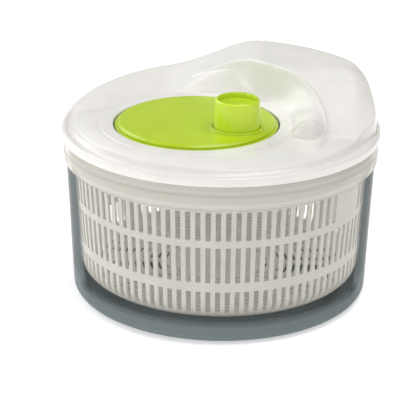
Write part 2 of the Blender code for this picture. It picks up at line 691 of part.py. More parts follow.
def make_knob_cap(carrier):
    """Dished cap that forms the floor of the knob's cup and hides its screw."""
    outline = [(0.0, CAP_LOW), (CAP_R, CAP_LOW), (CAP_R, CAP_TOP), (8.0, CAP_TOP - 0.7),
               (0.0, CAP_TOP - 0.9)]
    return to_object("knob_cap", lathe(outline, KNOB_SIDES), GREEN, carrier, KNOB_X, KNOB_Y)


# ---- drive train on the centre axis ------------------------------------------------
HEX_FLAT = 2.8       # half across the flats of the shaft's hexagons
PLATE_R = 112.5
PLATE_LOW, PLATE_HIGH = 123.3, 125.3
SHAFT_LOW, SHAFT_TOP = 120.3, 142.0
SHAFT_SIDES = 12
PINION_LOW, PINION_HIGH = 134.7, 140.4
CLIP_LOW, CLIP_HIGH = 140.8, 141.2
HUB_FOOT, HUB_HEAD = 120.0, 128.8    # the plate's hub round the shaft
PLATE_BORE, PLATE_HUB = 3.7, 8.0
TONGUE_LOW = 94.0


def hexagon(flat, z):
    """Twelve points round a hexagon, so that it bridges to a round ring."""
    points = []
    for i in range(SHAFT_SIDES):
        angle = math.tau * i / SHAFT_SIDES
        away = (angle + math.pi / 6) % (math.pi / 3) - math.pi / 6
        radius = flat / math.cos(away)
        points.append((radius * math.cos(angle), radius * math.sin(angle), z))
    return points


def make_drive_shaft(carrier):
    """Steel shaft: hexagon ends for pinion and plate, round journal, groove for the clip."""
    journal_r, groove_r, head_r = 3.5, 1.9, 2.6
    journal_low, journal_high = HUB_HEAD + 0.1, PINION_LOW - GAP
    groove_low, groove_high = CLIP_LOW - 0.2, CLIP_HIGH + 0.2
    rings = [hexagon(HEX_FLAT, SHAFT_LOW), hexagon(HEX_FLAT, journal_low),
             circle(journal_r, journal_low, SHAFT_SIDES),
             circle(journal_r, journal_high, SHAFT_SIDES),
             hexagon(HEX_FLAT, journal_high), hexagon(HEX_FLAT, groove_low),
             circle(groove_r, groove_low, SHAFT_SIDES), circle(groove_r, groove_high, SHAFT_SIDES),
             circle(head_r, groove_high, SHAFT_SIDES),
             circle(head_r - GAP, SHAFT_TOP, SHAFT_SIDES)]
    bm = bmesh.new()
    loops = [ring(bm, points) for points in rings]
    for lower, upper in zip(loops, loops[1:]):
        bridge(bm, lower, upper)
    bm.faces.new(loops[-1])
    bore = [loops[0]] + [ring(bm, circle(1.6, z, SHAFT_SIDES))
                         for z in (SHAFT_LOW, HUB_HEAD - 0.8)]
    for lower, upper in zip(bore, bore[1:]):
        bridge(bm, lower, upper)
    bm.faces.new(bore[-1])
    return to_object("drive_shaft", bm, STEEL, carrier)


def make_drive_pinion(carrier):
    """Spur pinion, 15 teeth, on the shaft's upper hexagon."""
    pitch_r = MODULE * PINION_TEETH / 2
    turn = OFFSET_AZ - math.pi
    bm = bmesh.new()
    toothed = [ring(bm, tooth_points(PINION_TEETH, pitch_r - 2.3, pitch_r + ADDENDUM, z, turn,
                                     0.30, 0.10)) for z in (PINION_LOW, PINION_HIGH)]
    bore = [ring(bm, tooth_bore(z, turn)) for z in (PINION_LOW, PINION_HIGH)]
    bridge(bm, toothed[0], toothed[1])
    bridge(bm, bore[0], bore[1])
    for low_high in range(2):
        for i in range(PINION_TEETH):
            tooth = [toothed[low_high][(4 * i + k) % (4 * PINION_TEETH)] for k in range(5)]
            edge = [bore[low_high][(i + 1) % PINION_TEETH], bore[low_high][i]]
            bm.faces.new(tooth + edge)
    return to_object("drive_pinion", bm, GEAR_WHITE, carrier)


def tooth_bore(z, turn):
    """Round bore of the pinion, one point under the start of each tooth."""
    return circle(PLATE_BORE, z, PINION_TEETH, turn=turn - 0.3 * math.tau / PINION_TEETH)


def make_shaft_clip(carrier):
    """Open retaining ring in the shaft's groove, above the pinion."""
    bm = bmesh.new()
    sections = []
    steps, inner, outer = 14, 2.2, 4.8
    for i in range(steps + 1):
        angle = math.radians(30.0 + 300.0 * i / steps)
        sections.append([bm.verts.new((r * MM * math.cos(angle), r * MM * math.sin(angle), z * MM))
                         for r, z in ((inner, CLIP_LOW), (outer, CLIP_LOW),
                                      (outer, CLIP_HIGH), (inner, CLIP_HIGH))])
    for near, far in zip(sections, sections[1:]):
        bridge(bm, near, far)
    bm.faces.new(sections[0])
    bm.faces.new(sections[-1])
    return to_object("shaft_clip", bm, STEEL, carrier)


def make_drive_plate(carrier):
    """Plate under the lid with a centre hub and two tongues that reach into the basket."""
    edge_low = PLATE_LOW - 2.5
    outline = [(PLATE_BORE, HUB_FOOT), (PLATE_HUB, HUB_FOOT), (PLATE_HUB, PLATE_LOW),
               (PLATE_R - 1.6, PLATE_LOW), (PLATE_R - 1.6, edge_low), (PLATE_R, edge_low),
               (PLATE_R, PLATE_HIGH), (PLATE_HUB, PLATE_HIGH), (PLATE_HUB, HUB_HEAD),
               (PLATE_BORE, HUB_HEAD)]
    plate = to_object("drive_plate", lathe(outline, ROUND), WHITE, carrier)
    for side in (0.0, math.pi):
        rings = []
        for z in (TONGUE_LOW, PLATE_HIGH - 0.6):
            points = []
            arc = [PANEL_AZ + side + math.radians(d) for d in (-5.0, -1.7, 1.7, 5.0)]
            points += [((PLATE_R - 1.9) * math.cos(a), (PLATE_R - 1.9) * math.sin(a), z)
                       for a in arc]
            points += [((PLATE_R - 0.3) * math.cos(a), (PLATE_R - 0.3) * math.sin(a), z)
                       for a in reversed(arc)]
            rings.append(points)
        cut_or_join(plate, loft_solid(rings), "UNION")
    return plate


# ---- assembly --------------------------------------------------------------------
def main():
    ground = axis_empty("axis_bowl")
    basket_lift = axis_empty("axis_basket_lift", parent=ground)
    basket_spin = axis_empty("axis_basket", parent=basket_lift)
    lid_axis = axis_empty("axis_lid", z=LIP_LOW, parent=ground)
    crank_axis = axis_empty("axis_crank", CRANK_X, CRANK_Y, DISC_TOP, parent=lid_axis)
    knob_axis = axis_empty("axis_knob", KNOB_X, KNOB_Y, DISC_TOP, parent=crank_axis)
    drive_axis = axis_empty("axis_drive", z=WELL_FLOOR, parent=lid_axis)

    make_bowl(ground)
    make_grip_ring(ground)
    make_pivot_bush(basket_lift)
    make_basket(basket_spin)

    make_lid(lid_axis)
    make_flanged_bush("crank_bush", lid_axis, bore=JOURNAL_R + GAP, outer=9.9, flange=10.0,
                      x=CRANK_X, y=CRANK_Y)
    make_flanged_bush("shaft_bush", lid_axis, bore=3.9, outer=6.0, flange=8.2, x=0.0, y=0.0)

    make_crank_disc(crank_axis)
    make_ring_gear(crank_axis)
    for number, angle in enumerate(GEAR_SCREW_ANGLES, start=1):
        make_screw(f"gear_screw_{number}", crank_axis, head_z=RING_LOW, tip_z=144.0,
                   head_r=2.1, shank_r=1.0, x=CRANK_X + SCREW_ARM * math.cos(angle),
                   y=CRANK_Y + SCREW_ARM * math.sin(angle), head_thick=1.1)
    washer = tube_bm(inner=2.2, outer=9.3, low=128.0, high=129.0, sides=SMALL)
    to_object("crank_washer", washer, STEEL, crank_axis, CRANK_X, CRANK_Y)
    make_screw("crank_screw", crank_axis, head_z=126.4, tip_z=138.6, head_r=4.0, shank_r=1.6,
               x=CRANK_X, y=CRANK_Y)

    make_knob(knob_axis)
    make_knob_cap(knob_axis)
    washer = tube_bm(inner=1.8, outer=8.6, low=160.3, high=161.0, sides=SMALL)
    to_object("knob_washer", washer, STEEL, crank_axis, KNOB_X, KNOB_Y)
    make_screw("knob_screw", crank_axis, head_z=162.6, tip_z=148.0, head_r=3.4, shank_r=1.4,
               x=KNOB_X, y=KNOB_Y)

    make_drive_pinion(drive_axis)
    make_drive_shaft(drive_axis)
    make_shaft_clip(drive_axis)
    make_drive_plate(drive_axis)
    make_screw("plate_screw", drive_axis, head_z=118.3, tip_z=127.6, head_r=5.0, shank_r=1.3,
               x=0.0, y=0.0, head_thick=1.4)


main()
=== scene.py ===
"""Looks of the hand-cranked salad spinner: fine meshes, materials, light and camera.

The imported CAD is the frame. The bowl, basket, lid, crank disc, knob, cap and drive plate get
fine meshes that stand where their CAD nodes are; the small hidden pieces keep the CAD's mesh.
Lengths are millimetres, and MM turns them into Blender's metres. +Z is up, the origin lies on
the table under the bowl's centre, and -Y is the front.
"""

import math

import bmesh
import bpy
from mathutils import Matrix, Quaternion, Vector


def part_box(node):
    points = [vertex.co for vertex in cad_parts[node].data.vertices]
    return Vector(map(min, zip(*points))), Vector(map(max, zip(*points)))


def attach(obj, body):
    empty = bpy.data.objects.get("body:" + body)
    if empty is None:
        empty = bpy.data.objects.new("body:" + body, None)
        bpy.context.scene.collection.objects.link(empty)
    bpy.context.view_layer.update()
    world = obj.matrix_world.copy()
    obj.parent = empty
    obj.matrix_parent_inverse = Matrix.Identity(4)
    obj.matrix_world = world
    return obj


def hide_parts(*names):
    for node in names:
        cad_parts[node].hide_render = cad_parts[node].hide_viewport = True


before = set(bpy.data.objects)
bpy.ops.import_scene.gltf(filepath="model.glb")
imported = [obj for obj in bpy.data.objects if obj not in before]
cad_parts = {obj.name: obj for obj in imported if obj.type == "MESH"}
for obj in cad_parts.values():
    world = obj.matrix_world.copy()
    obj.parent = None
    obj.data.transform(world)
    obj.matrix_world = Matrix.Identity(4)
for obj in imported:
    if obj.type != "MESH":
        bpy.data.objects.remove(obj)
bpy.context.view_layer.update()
MM = 0.001


# ---- sizes read from the frame ---------------------------------------------------
def low_high(node):
    """Lowest and highest corner of a CAD node, in millimetres."""
    low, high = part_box(node)
    return Vector(low) / MM, Vector(high) / MM


lid_low, lid_high = low_high("lid_shell")
bowl_low, bowl_high = low_high("bowl")
basket_high = low_high("basket")[1]
disc_low, disc_high = low_high("crank_disc")
knob_low, knob_high = low_high("knob")
cap_low, cap_high = low_high("knob_cap")
plate_high = low_high("drive_plate")[1]

LIP_R = lid_high.x
SKIRT_LOW = lid_low.z
RIM_R = bowl_high.x
RIM_TOP = bowl_high.z
BASE_LIFT = bowl_low.z
BASKET_TOP = basket_high.z
BASKET_RIM_R = basket_high.y
FLANGE_R = (disc_high.x - disc_low.x) / 2
CRANK_X = (disc_high.x + disc_low.x) / 2
CRANK_Y = (disc_high.y + disc_low.y) / 2
KNOB_R = (knob_high.x - knob_low.x) / 2
KNOB_X = (knob_high.x + knob_low.x) / 2
KNOB_Y = (knob_high.y + knob_low.y) / 2
KNOB_TOP = knob_high.z
CAP_LOW = cap_low.z
PLATE_R = plate_high.x

FINE = 480           # sides of the lid
ROUND = 192          # sides of the other large round pieces


# ---- mesh helpers ------------------------------------------------------------------
def circle(radius, z, sides, x=0.0, y=0.0, turn=0.0):
    """Evenly spaced points of a level circle."""
    return [(x + radius * math.cos(turn + math.tau * i / sides),
             y + radius * math.sin(turn + math.tau * i / sides), z) for i in range(sides)]


def at_angles(radius, z, angles):
    """Points of a level circle about the bowl's axis, one at each angle."""
    return [(radius * math.cos(a), radius * math.sin(a), z) for a in angles]


def smoothstep(t):
    """Smooth rise from 0 to 1 as t goes from 0 to 1."""
    t = min(1.0, max(0.0, t))
    return t * t * (3.0 - 2.0 * t)


def spread(start, end, count):
    """Evenly spaced values from start to end, both included."""
    return [start + (end - start) * i / (count - 1) for i in range(count)]


def arc(r, z, radius, start, end, steps=6):
    """Points of an arc about (r, z); angles in degrees, 0 outwards and 90 up."""
    return [(r + radius * math.cos(math.radians(a)), z + radius * math.sin(math.radians(a)))
            for a in spread(start, end, steps)]


def rounded(corners, steps=5):
    """An outline whose corners (r, z, fillet) are turned into arcs where fillet > 0."""
    outline = []
    count = len(corners)
    for i, (r, z, fillet) in enumerate(corners):
        if fillet <= 0.0:
            outline.append((r, z))
            continue
        here = Vector((r, z))
        before = Vector(corners[i - 1][:2]) - here
        after = Vector(corners[(i + 1) % count][:2]) - here
        half = before.angle(after) / 2
        along = fillet / math.tan(half)
        start = here + before.normalized() * along
        end = here + after.normalized() * along
        middle = here + (before.normalized() + after.normalized()).normalized() * (
            fillet / math.sin(half))
        turn_from = math.atan2(start.y - middle.y, start.x - middle.x)
        turn_by = math.atan2(end.y - middle.y, end.x - middle.x) - turn_from
        turn_by = (turn_by + math.pi) % math.tau - math.pi
        for k in range(steps):
            angle = turn_from + turn_by * k / (steps - 1)
            outline.append((middle.x + fillet * math.cos(angle),
                            middle.y + fillet * math.sin(angle)))
    return outline


class Shell:
    """Collects points and faces in millimetres, then makes one object of them."""

    def __init__(self):
        self.points = []
        self.faces = []

    def ring(self, points):
        """Add points and give their indices."""
        start = len(self.points)
        self.points += points
        return list(range(start, len(self.points)))

    def band(self, first, second):
        """Faces between two rings of the same count."""
        count = len(first)
        for i in range(count):
            k = (i + 1) % count
            self.faces.append((first[i], first[k], second[k], second[i]))

    def loop(self, rings):
        """Rings joined in a closed round, the last to the first."""
        indices = [self.ring(points) for points in rings]
        for i, ring in enumerate(indices):
            self.band(ring, indices[(i + 1) % len(indices)])

    def turned(self, outline, sides, x=0.0, y=0.0):
        """A closed outline of (r, z) turned about the vertical axis through (x, y)."""
        if all(r > 0.0 for r, _ in outline):
            self.loop([circle(r, z, sides, x, y) for r, z in outline])
            return
        rings = [self.ring(circle(r, z, sides, x, y)) if r > 0.0 else self.ring([(x, y, z)])
                 for r, z in outline]
        for i, ring in enumerate(rings):
            after = rings[(i + 1) % len(rings)]
            if len(ring) == 1 and len(after) == 1:
                continue
            if len(ring) == 1:
                self.faces += [(ring[0], after[(k + 1) % sides], after[k]) for k in range(sides)]
            elif len(after) == 1:
                self.faces += [(ring[k], ring[(k + 1) % sides], after[0]) for k in range(sides)]
            else:
                self.band(ring, after)

    def object(self, name, material, sharp=38.0):
        """One object of all points and faces; edges over `sharp` degrees stay sharp."""
        mesh = bpy.data.meshes.new(name)
        mesh.from_pydata([(x * MM, y * MM, z * MM) for x, y, z in self.points], [], self.faces)
        mesh.validate()
        mesh.shade_smooth()
        mesh.set_sharp_from_angle(angle=math.radians(sharp))
        mesh.materials.append(material)
        obj = bpy.data.objects.new(name, mesh)
        bpy.context.scene.collection.objects.link(obj)
        return obj


def make_solid(obj):
    """Point all faces outwards."""
    bm = bmesh.new()
    bm.from_mesh(obj.data)
    bmesh.ops.recalc_face_normals(bm, faces=bm.faces)
    bm.to_mesh(obj.data)
    bm.free()
    return obj


# ---- materials ------------------------------------------------------------------------
def new_material(name):
    """A new material with its nodes, links and Principled shader."""
    mat = bpy.data.materials.new(name)
    mat.use_nodes = True
    nodes = mat.node_tree.nodes
    return mat, nodes, mat.node_tree.links, nodes["Principled BSDF"]


def noise(nodes, links, place, scale, detail=2.0):
    """Noise in the object's own coordinates."""
    node = nodes.new("ShaderNodeTexNoise")
    node.inputs["Scale"].default_value = scale
    node.inputs["Detail"].default_value = detail
    links.new(place.outputs["Object"], node.inputs["Vector"])
    return node


def vary(nodes, links, pattern, low, high, socket):
    """Drive a socket between two values by a pattern."""
    node = nodes.new("ShaderNodeMapRange")
    node.inputs["To Min"].default_value = low
    node.inputs["To Max"].default_value = high
    links.new(pattern.outputs["Fac"], node.inputs["Value"])
    links.new(node.outputs["Result"], socket)


def ramp(nodes, stops):
    """A colour ramp with the given (position, colour) stops; a number stands for a grey."""
    node = nodes.new("ShaderNodeValToRGB")
    elements = node.color_ramp.elements
    for i, (position, colour) in enumerate(stops):
        element = elements[i] if i < 2 else elements.new(position)
        element.position = position
        rgb = colour if isinstance(colour, tuple) else (colour,) * 3
        element.color = (*rgb, 1.0)
    return node


SKIN_SCALE, SKIN_DEPTH = 1400.0, 0.0002          # fine texture of moulded plastic


def plastic(name, dark, light, roughness, grain=0.05, scale=60.0, painted_fill_glow=0.0):
    """Moulded plastic: faint cloudy colour, uneven polish and a fine skin texture;
    painted_fill_glow makes it glow as painted fill light.
    """
    mat, nodes, links, shader = new_material(name)
    place = nodes.new("ShaderNodeTexCoord")
    cloud = noise(nodes, links, place, scale, 3.0)
    tint = ramp(nodes, [(0.35, dark), (0.65, light)])
    links.new(cloud.outputs["Fac"], tint.inputs["Fac"])
    links.new(tint.outputs["Color"], shader.inputs["Base Color"])
    vary(nodes, links, cloud, roughness * 0.9, roughness * 1.12, shader.inputs["Roughness"])

    skin = noise(nodes, links, place, SKIN_SCALE)
    bump = nodes.new("ShaderNodeBump")
    bump.inputs["Strength"].default_value = grain
    bump.inputs["Distance"].default_value = SKIN_DEPTH
    links.new(skin.outputs["Fac"], bump.inputs["Height"])
    links.new(bump.outputs["Normal"], shader.inputs["Normal"])
    # painted fill light: the surface glows in its own lighter colour
    shader.inputs["Emission Color"].default_value = (*light, 1.0)
    shader.inputs["Emission Strength"].default_value = painted_fill_glow
    return mat


STEP_Z, STEP_R = 110.7, 121.7        # the step where the bowl's collar starts
STEP_LOW, STEP_HIGH = STEP_Z - 1.3, STEP_Z - 0.8
SHADE_LINE_LOW, SHADE_LINE_HIGH = 121.2, 123.2   # painted shade: a dull line where the skirt's foot stands in the collar


def clear_plastic():
    """Smoke-clear bowl: faint where seen square on, blue-grey at its edges and in its base.

    The collar above the step is frosted, with painted shade along the step and along the skirt's
    foot, and painted highlight lines just above them. Painted shadow of the basket darkens the
    base a little just under the basket.
    """
    mat, nodes, links, shader = new_material("smoke_clear")
    shader.inputs["Roughness"].default_value = 0.05
    shader.inputs["IOR"].default_value = 1.04

    place = nodes.new("ShaderNodeTexCoord")
    split = nodes.new("ShaderNodeSeparateXYZ")
    links.new(place.outputs["Object"], split.inputs["Vector"])
    height = nodes.new("ShaderNodeMapRange")
    height.inputs["From Max"].default_value = RIM_TOP * MM
    links.new(split.outputs["Z"], height.inputs["Value"])

    def at(z):
        return z / RIM_TOP

    # basket_shadow is painted shadow of the basket: a slightly darker band just under it in the
    # base
    smoke, deep, basket_shadow = (0.13, 0.155, 0.16), (0.20, 0.238, 0.248), (0.195, 0.232, 0.242)
    # painted_highlight and painted_shade are painted light and shade lines on the collar
    frost, painted_highlight, painted_shade = (0.70, 0.675, 0.62), (0.80, 0.78, 0.73), (0.52, 0.49, 0.44)
    colour = ramp(nodes, [
        (at(9.0), deep), (at(14.0), basket_shadow), (at(20.0), basket_shadow), (at(30.0), smoke),
        (at(STEP_LOW), smoke), (at(STEP_HIGH), painted_shade), (at(STEP_Z + 0.1), painted_shade),
        (at(STEP_Z + 1.3), frost), (at(STEP_Z + 3.5), painted_highlight), (at(STEP_Z + 5.0), frost),
        (at(SHADE_LINE_LOW), frost), (at(SHADE_LINE_LOW + 0.5), painted_shade), (at(SHADE_LINE_HIGH - 0.7), painted_shade),
        (at(SHADE_LINE_HIGH), painted_highlight), (at(124.8), painted_highlight), (at(126.5), frost)])
    solid, faint, frosted, line = 0.84, 0.04, 0.45, 0.62
    square_on = ramp(nodes, [
        (at(14.0), solid), (at(20.5), faint), (at(STEP_LOW), faint), (at(STEP_HIGH), frosted),
        (at(SHADE_LINE_LOW), frosted), (at(SHADE_LINE_LOW + 0.5), line), (at(SHADE_LINE_HIGH - 0.7), line),
        (at(SHADE_LINE_HIGH), frosted)])
    edge_on = ramp(nodes, [(at(20.0), 0.93), (at(STEP_LOW), 0.84), (at(STEP_HIGH), 0.95)])
    for node in (colour, square_on, edge_on):
        links.new(height.outputs["Result"], node.inputs["Fac"])

    # the outline is darker, because more plastic is seen through there
    facing = nodes.new("ShaderNodeLayerWeight")
    facing.inputs["Blend"].default_value = 0.5
    rim = ramp(nodes, [(0.80, 1.0), (0.95, 0.62)])
    links.new(facing.outputs["Facing"], rim.inputs["Fac"])
    shaded = nodes.new("ShaderNodeMix")
    shaded.data_type = "RGBA"
    shaded.blend_type = "MULTIPLY"
    shaded.inputs["Factor"].default_value = 1.0
    links.new(colour.outputs["Color"], shaded.inputs["A"])
    links.new(rim.outputs["Color"], shaded.inputs["B"])
    links.new(shaded.outputs["Result"], shader.inputs["Base Color"])

    edge = nodes.new("ShaderNodeMapRange")
    edge.interpolation_type = "SMOOTHSTEP"
    edge.inputs["From Min"].default_value = 0.68
    edge.inputs["From Max"].default_value = 0.78
    links.new(facing.outputs["Facing"], edge.inputs["Value"])
    alpha = nodes.new("ShaderNodeMix")
    links.new(edge.outputs["Result"], alpha.inputs["Factor"])
    links.new(square_on.outputs["Color"], alpha.inputs["A"])
    links.new(edge_on.outputs["Color"], alpha.inputs["B"])
    links.new(alpha.outputs["Result"], shader.inputs["Alpha"])
    return mat


def brushed_steel():
    """Plain zinc-plated steel with fine turned marks."""
    mat, nodes, links, shader = new_material("steel")
    shader.inputs["Metallic"].default_value = 1.0
    marks = noise(nodes, links, nodes.new("ShaderNodeTexCoord"), 900.0)
    tint = ramp(nodes, [(0.0, (0.42, 0.42, 0.41)), (1.0, (0.66, 0.66, 0.64))])
    links.new(marks.outputs["Fac"], tint.inputs["Fac"])
    links.new(tint.outputs["Color"], shader.inputs["Base Color"])
    vary(nodes, links, marks, 0.22, 0.42, shader.inputs["Roughness"])
    return mat


LID_WHITE = plastic("lid_plastic", (0.80, 0.785, 0.755), (0.83, 0.815, 0.785), 0.22, 0.03)
# painted fill light: the basket's colour is darker than the lid's and it glows, so its inside
# reads lit
BASKET_WHITE = plastic("basket_plastic", (0.50, 0.487, 0.44), (0.53, 0.517, 0.47), 0.34, 0.05,
                       painted_fill_glow=0.27)
GEAR_WHITE = plastic("gear_plastic", (0.70, 0.69, 0.64), (0.75, 0.74, 0.69), 0.38, 0.08)
GREEN = plastic("lime_plastic", (0.455, 0.625, 0.008), (0.48, 0.655, 0.012), 0.30, 0.03)
# painted light: the knob gets a lighter, glossier copy of the disc's lime plastic
LIT_KNOB_GREEN = plastic("lime_knob_painted_light", (0.58, 0.77, 0.03), (0.60, 0.79, 0.034), 0.15, 0.03)
SILICONE = plastic("grip_silicone", (0.30, 0.33, 0.34), (0.36, 0.39, 0.40), 0.72, 0.25)
CLEAR = clear_plastic()
STEEL = brushed_steel()


# ---- bowl -------------------------------------------------------------------------------
FOOT_R = 117.4                       # the wall just above the bottom corner
BOWL_WALL, COLLAR_WALL, BOWL_FLOOR = 2.5, 2.4, 3.8
GRIP_IN, GRIP_OUT, GRIP_TOP = 87.7, 98.3, 2.5    # groove that holds the grip ring
POST_FOOT, POST_R, POST_TOP = 6.6, 4.2, 14.0     # pin that carries the pivot bush


def make_bowl():
    """Clear bowl: rounded bottom corner, slight taper, step, and a collar under the lip."""
    corners = [
        (0.0, BASE_LIFT, 0.0), (GRIP_IN, BASE_LIFT, 0.5), (GRIP_IN, GRIP_TOP, 0.0),
        (GRIP_OUT, GRIP_TOP, 0.0), (GRIP_OUT, BASE_LIFT, 0.5),
        (FOOT_R, BASE_LIFT, 8.5), (STEP_R, STEP_Z, 0.6), (STEP_R + 1.6, STEP_Z + 1.2, 0.6),
        (RIM_R, 120.0, 6.0), (RIM_R, RIM_TOP, 0.5), (RIM_R - COLLAR_WALL, RIM_TOP, 0.5),
        (RIM_R - COLLAR_WALL, 118.0, 4.0), (STEP_R - BOWL_WALL, STEP_Z - 3.0, 4.0),
        (FOOT_R - BOWL_WALL, BOWL_FLOOR, 7.0),
        (POST_FOOT, BOWL_FLOOR, 1.5), (POST_R, POST_TOP, 0.5), (0.0, POST_TOP, 0.0)]
    shell = Shell()
    shell.turned(rounded(corners, 8), ROUND)
    bowl = make_solid(shell.object("bowl_fine", CLEAR))
    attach(bowl, "bowl_base")
    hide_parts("bowl")


# ---- basket -----------------------------------------------------------------------------
WALL, RIM_WALL = 1.8, 3.0
FLOOR_Z = 17.0
FLOOR_EDGE = 99.6            # the floor is flat inside this radius
NECK_Z, NECK_R, NECK_LEAN = 108.0, 116.5, 0.06
CORNER_Z, CORNER_R, CORNER_REACH = 30.0, 111.5, 11.5         # round bottom corner
CORNER_THIN, CORNER_LIFT = 0.45, 0.55        # how the inner skin follows that corner
TIERS = ((106.4, 83.5), (77.7, 48.9), (41.3, 22.3))          # top and bottom of the slots
SLOTS, SLOT_SHARE = 96, 0.52
SLOT_TURN = math.radians(0.9)
PANEL_AZ, PANEL_HALF = math.radians(-32.6), math.radians(7.0)
SPOKES, SPOKE_AZ, SPOKE_WIDTH = 14, math.radians(-78.0), 5.0
ARC_PITCH, ARC_WIDTH, ARC_OUTER, ARC_COUNT = 5.85, 2.7, 97.6, 11     # slots of the floor
ARC_STEPS = 12
CUP_IN, CUP_OUT, CUP_LOW = 7.4, 9.6, 9.0     # socket over the pivot bush
RIB_GAP, RIB_SPAN, RIB_DEPTH = math.radians(0.7), math.radians(1.6), 2.6


def basket_radius(z):
    """Outer radius of the basket's wall: a taper that ends in a round bottom corner."""
    if z >= NECK_Z:
        return NECK_R + (z - NECK_Z) * NECK_LEAN
    if z >= CORNER_Z:
        return CORNER_R + (z - CORNER_Z) * (NECK_R - CORNER_R) / (NECK_Z - CORNER_Z)
    lean = (CORNER_Z - z) / (CORNER_Z - FLOOR_Z)
    return CORNER_R - CORNER_REACH * (1.0 - math.sqrt(max(0.0, 1.0 - lean * lean)))


def from_panel(angle):
    """Angle to the middle of the nearer of the two plain panels."""
    away = (angle - PANEL_AZ + math.pi / 2) % math.pi - math.pi / 2
    return abs(away)


def pierced(shell, outer, inner, opened):
    """Two skins with openings, and the openings' edges between the skins."""
    columns = len(outer[0])
    for i in range(len(outer) - 1):
        for j in range(columns):
            k = (j + 1) % columns
            if not opened(i, j):
                shell.faces.append((outer[i][j], outer[i][k], outer[i + 1][k], outer[i + 1][j]))
                shell.faces.append((inner[i][j], inner[i + 1][j], inner[i + 1][k], inner[i][k]))
                continue
            sides = (((i - 1, j), (i, j), (i, k)), ((i, j + 1), (i, k), (i + 1, k)),
                     ((i + 1, j), (i + 1, k), (i + 1, j)), ((i, j - 1), (i + 1, j), (i, j)))
            for (row, column), a, b in sides:
                if not opened(row, column % columns):
                    shell.faces.append((outer[a[0]][a[1]], outer[b[0]][b[1]],
                                        inner[b[0]][b[1]], inner[a[0]][a[1]]))


def add_wall(shell):
    """Rim band and wall with three tiers of upright slots."""
    pitch = math.tau / SLOTS
    angles = []
    for i in range(SLOTS):
        middle = -math.pi / 2 - SLOT_TURN + i * pitch
        angles += [middle - pitch * SLOT_SHARE / 2, middle + pitch * SLOT_SHARE / 2]

    heights = [(BASKET_TOP, True), (119.4, True), (118.6, False), (114.0, False), (110.0, False)]
    tier_rows = []
    for high, low in TIERS:
        tier_rows.append(range(len(heights), len(heights) + 3))
        heights += [(z, False) for z in spread(high, low, 4)]
    corner = CORNER_Z - FLOOR_Z
    heights += [(FLOOR_Z + corner * (1.0 - math.sin(math.radians(a))), False)
                for a in (42.0, 54.0, 66.0, 78.0)]
    outer, inner = [], []
    for z, rim in heights:
        radius = BASKET_RIM_R if rim else basket_radius(z)
        depth = RIM_WALL if rim else WALL
        low_share = max(0.0, min(1.0, (CORNER_Z - z) / corner))
        outer.append(shell.ring(at_angles(radius, z, angles)))
        inner.append(shell.ring(at_angles(radius - depth * (1.0 - CORNER_THIN * low_share),
                                          z + WALL * CORNER_LIFT * low_share, angles)))

    def opened(row, column):
        for tier, rows in enumerate(tier_rows):
            if row in rows:
                middle = angles[column] + pitch * SLOT_SHARE / 2
                plain = tier == 0 and from_panel(middle) < PANEL_HALF
                return column % 2 == 0 and not plain
        return False

    pierced(shell, outer, inner, opened)
    shell.band(outer[0], inner[0])
    edge_out = shell.ring(at_angles(FLOOR_EDGE, FLOOR_Z, angles))
    edge_in = shell.ring(at_angles(FLOOR_EDGE, FLOOR_Z + WALL, angles))
    shell.band(outer[-1], edge_out)
    shell.band(inner[-1], edge_in)
    shell.band(edge_out, edge_in)


def close_with(shell, last, outline, flip):
    """Rings from `last` through an outline of (r, z), closed by one face."""
    for r, z in outline:
        following = shell.ring(circle(r, z, len(last), turn=SPOKE_AZ))
        shell.band(last, following)
        last = following
    shell.faces.append(tuple(reversed(last)) if flip else tuple(last))


def add_floor(shell):
    """Floor of short concentric slots between spokes, with the socket in its middle."""
    radii = [FLOOR_EDGE]
    for i in range(ARC_COUNT):
        middle = ARC_OUTER - ARC_PITCH * i - ARC_WIDTH / 2
        radii += [middle + ARC_WIDTH / 2, middle - ARC_WIDTH / 2]
    under, over = [], []
    for r in radii:
        half = SPOKE_WIDTH / 2 / r
        around = []
        for spoke in range(SPOKES):
            start = SPOKE_AZ + spoke * math.tau / SPOKES
            around += spread(start + half, start + math.tau / SPOKES - half, ARC_STEPS + 1)
        under.append(shell.ring(at_angles(r, FLOOR_Z, around)))
        over.append(shell.ring(at_angles(r, FLOOR_Z + WALL, around)))

    def opened(row, column):
        in_arc = column % (ARC_STEPS + 1) != ARC_STEPS
        return row % 2 == 1 and row < len(radii) - 1 and in_arc

    pierced(shell, under, over, opened)
    close_with(shell, under[-1], [
        (30.0, FLOOR_Z), (CUP_OUT + 1.2, FLOOR_Z), (CUP_OUT, FLOOR_Z - 1.2),
        (CUP_OUT, CUP_LOW), (CUP_IN, CUP_LOW), (CUP_IN, FLOOR_Z - 0.9)], True)
    top = FLOOR_Z + WALL
    close_with(shell, over[-1], [
        (28.6, top), (27.8, top + 0.7), (26.8, top + 0.7), (26.0, top), (11.0, top),
        (9.0, top + 1.0)], False)


def add_ribs(shell):
    """Upright ribs inside the wall, one at each side of both panels, that the tongues push."""
    high, low = TIERS[0]
    for middle in (PANEL_AZ, PANEL_AZ + math.pi):
        for side in (-1.0, 1.0):
            start = middle + side * (PANEL_HALF + RIB_GAP)
            end = start + side * RIB_SPAN
            ends = []
            for z in (high, low):
                root = basket_radius(z) - WALL + 0.3
                tip = basket_radius(z) - WALL - RIB_DEPTH
                ends.append(shell.ring([(r * math.cos(a), r * math.sin(a), z) for r, a in (
                    (root, start), (tip, start), (tip, end), (root, end))]))
            shell.band(ends[0], ends[1])
            shell.faces.append(tuple(ends[0]))
            shell.faces.append(tuple(reversed(ends[1])))


def make_basket():
    """Slotted basket: wall, floor, and the ribs that the drive plate's tongues push."""
    shell = Shell()
    add_wall(shell)
    add_floor(shell)
    add_ribs(shell)
    basket = make_solid(shell.object("basket_fine", BASKET_WHITE))
    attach(basket, "basket_turning")
    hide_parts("basket")


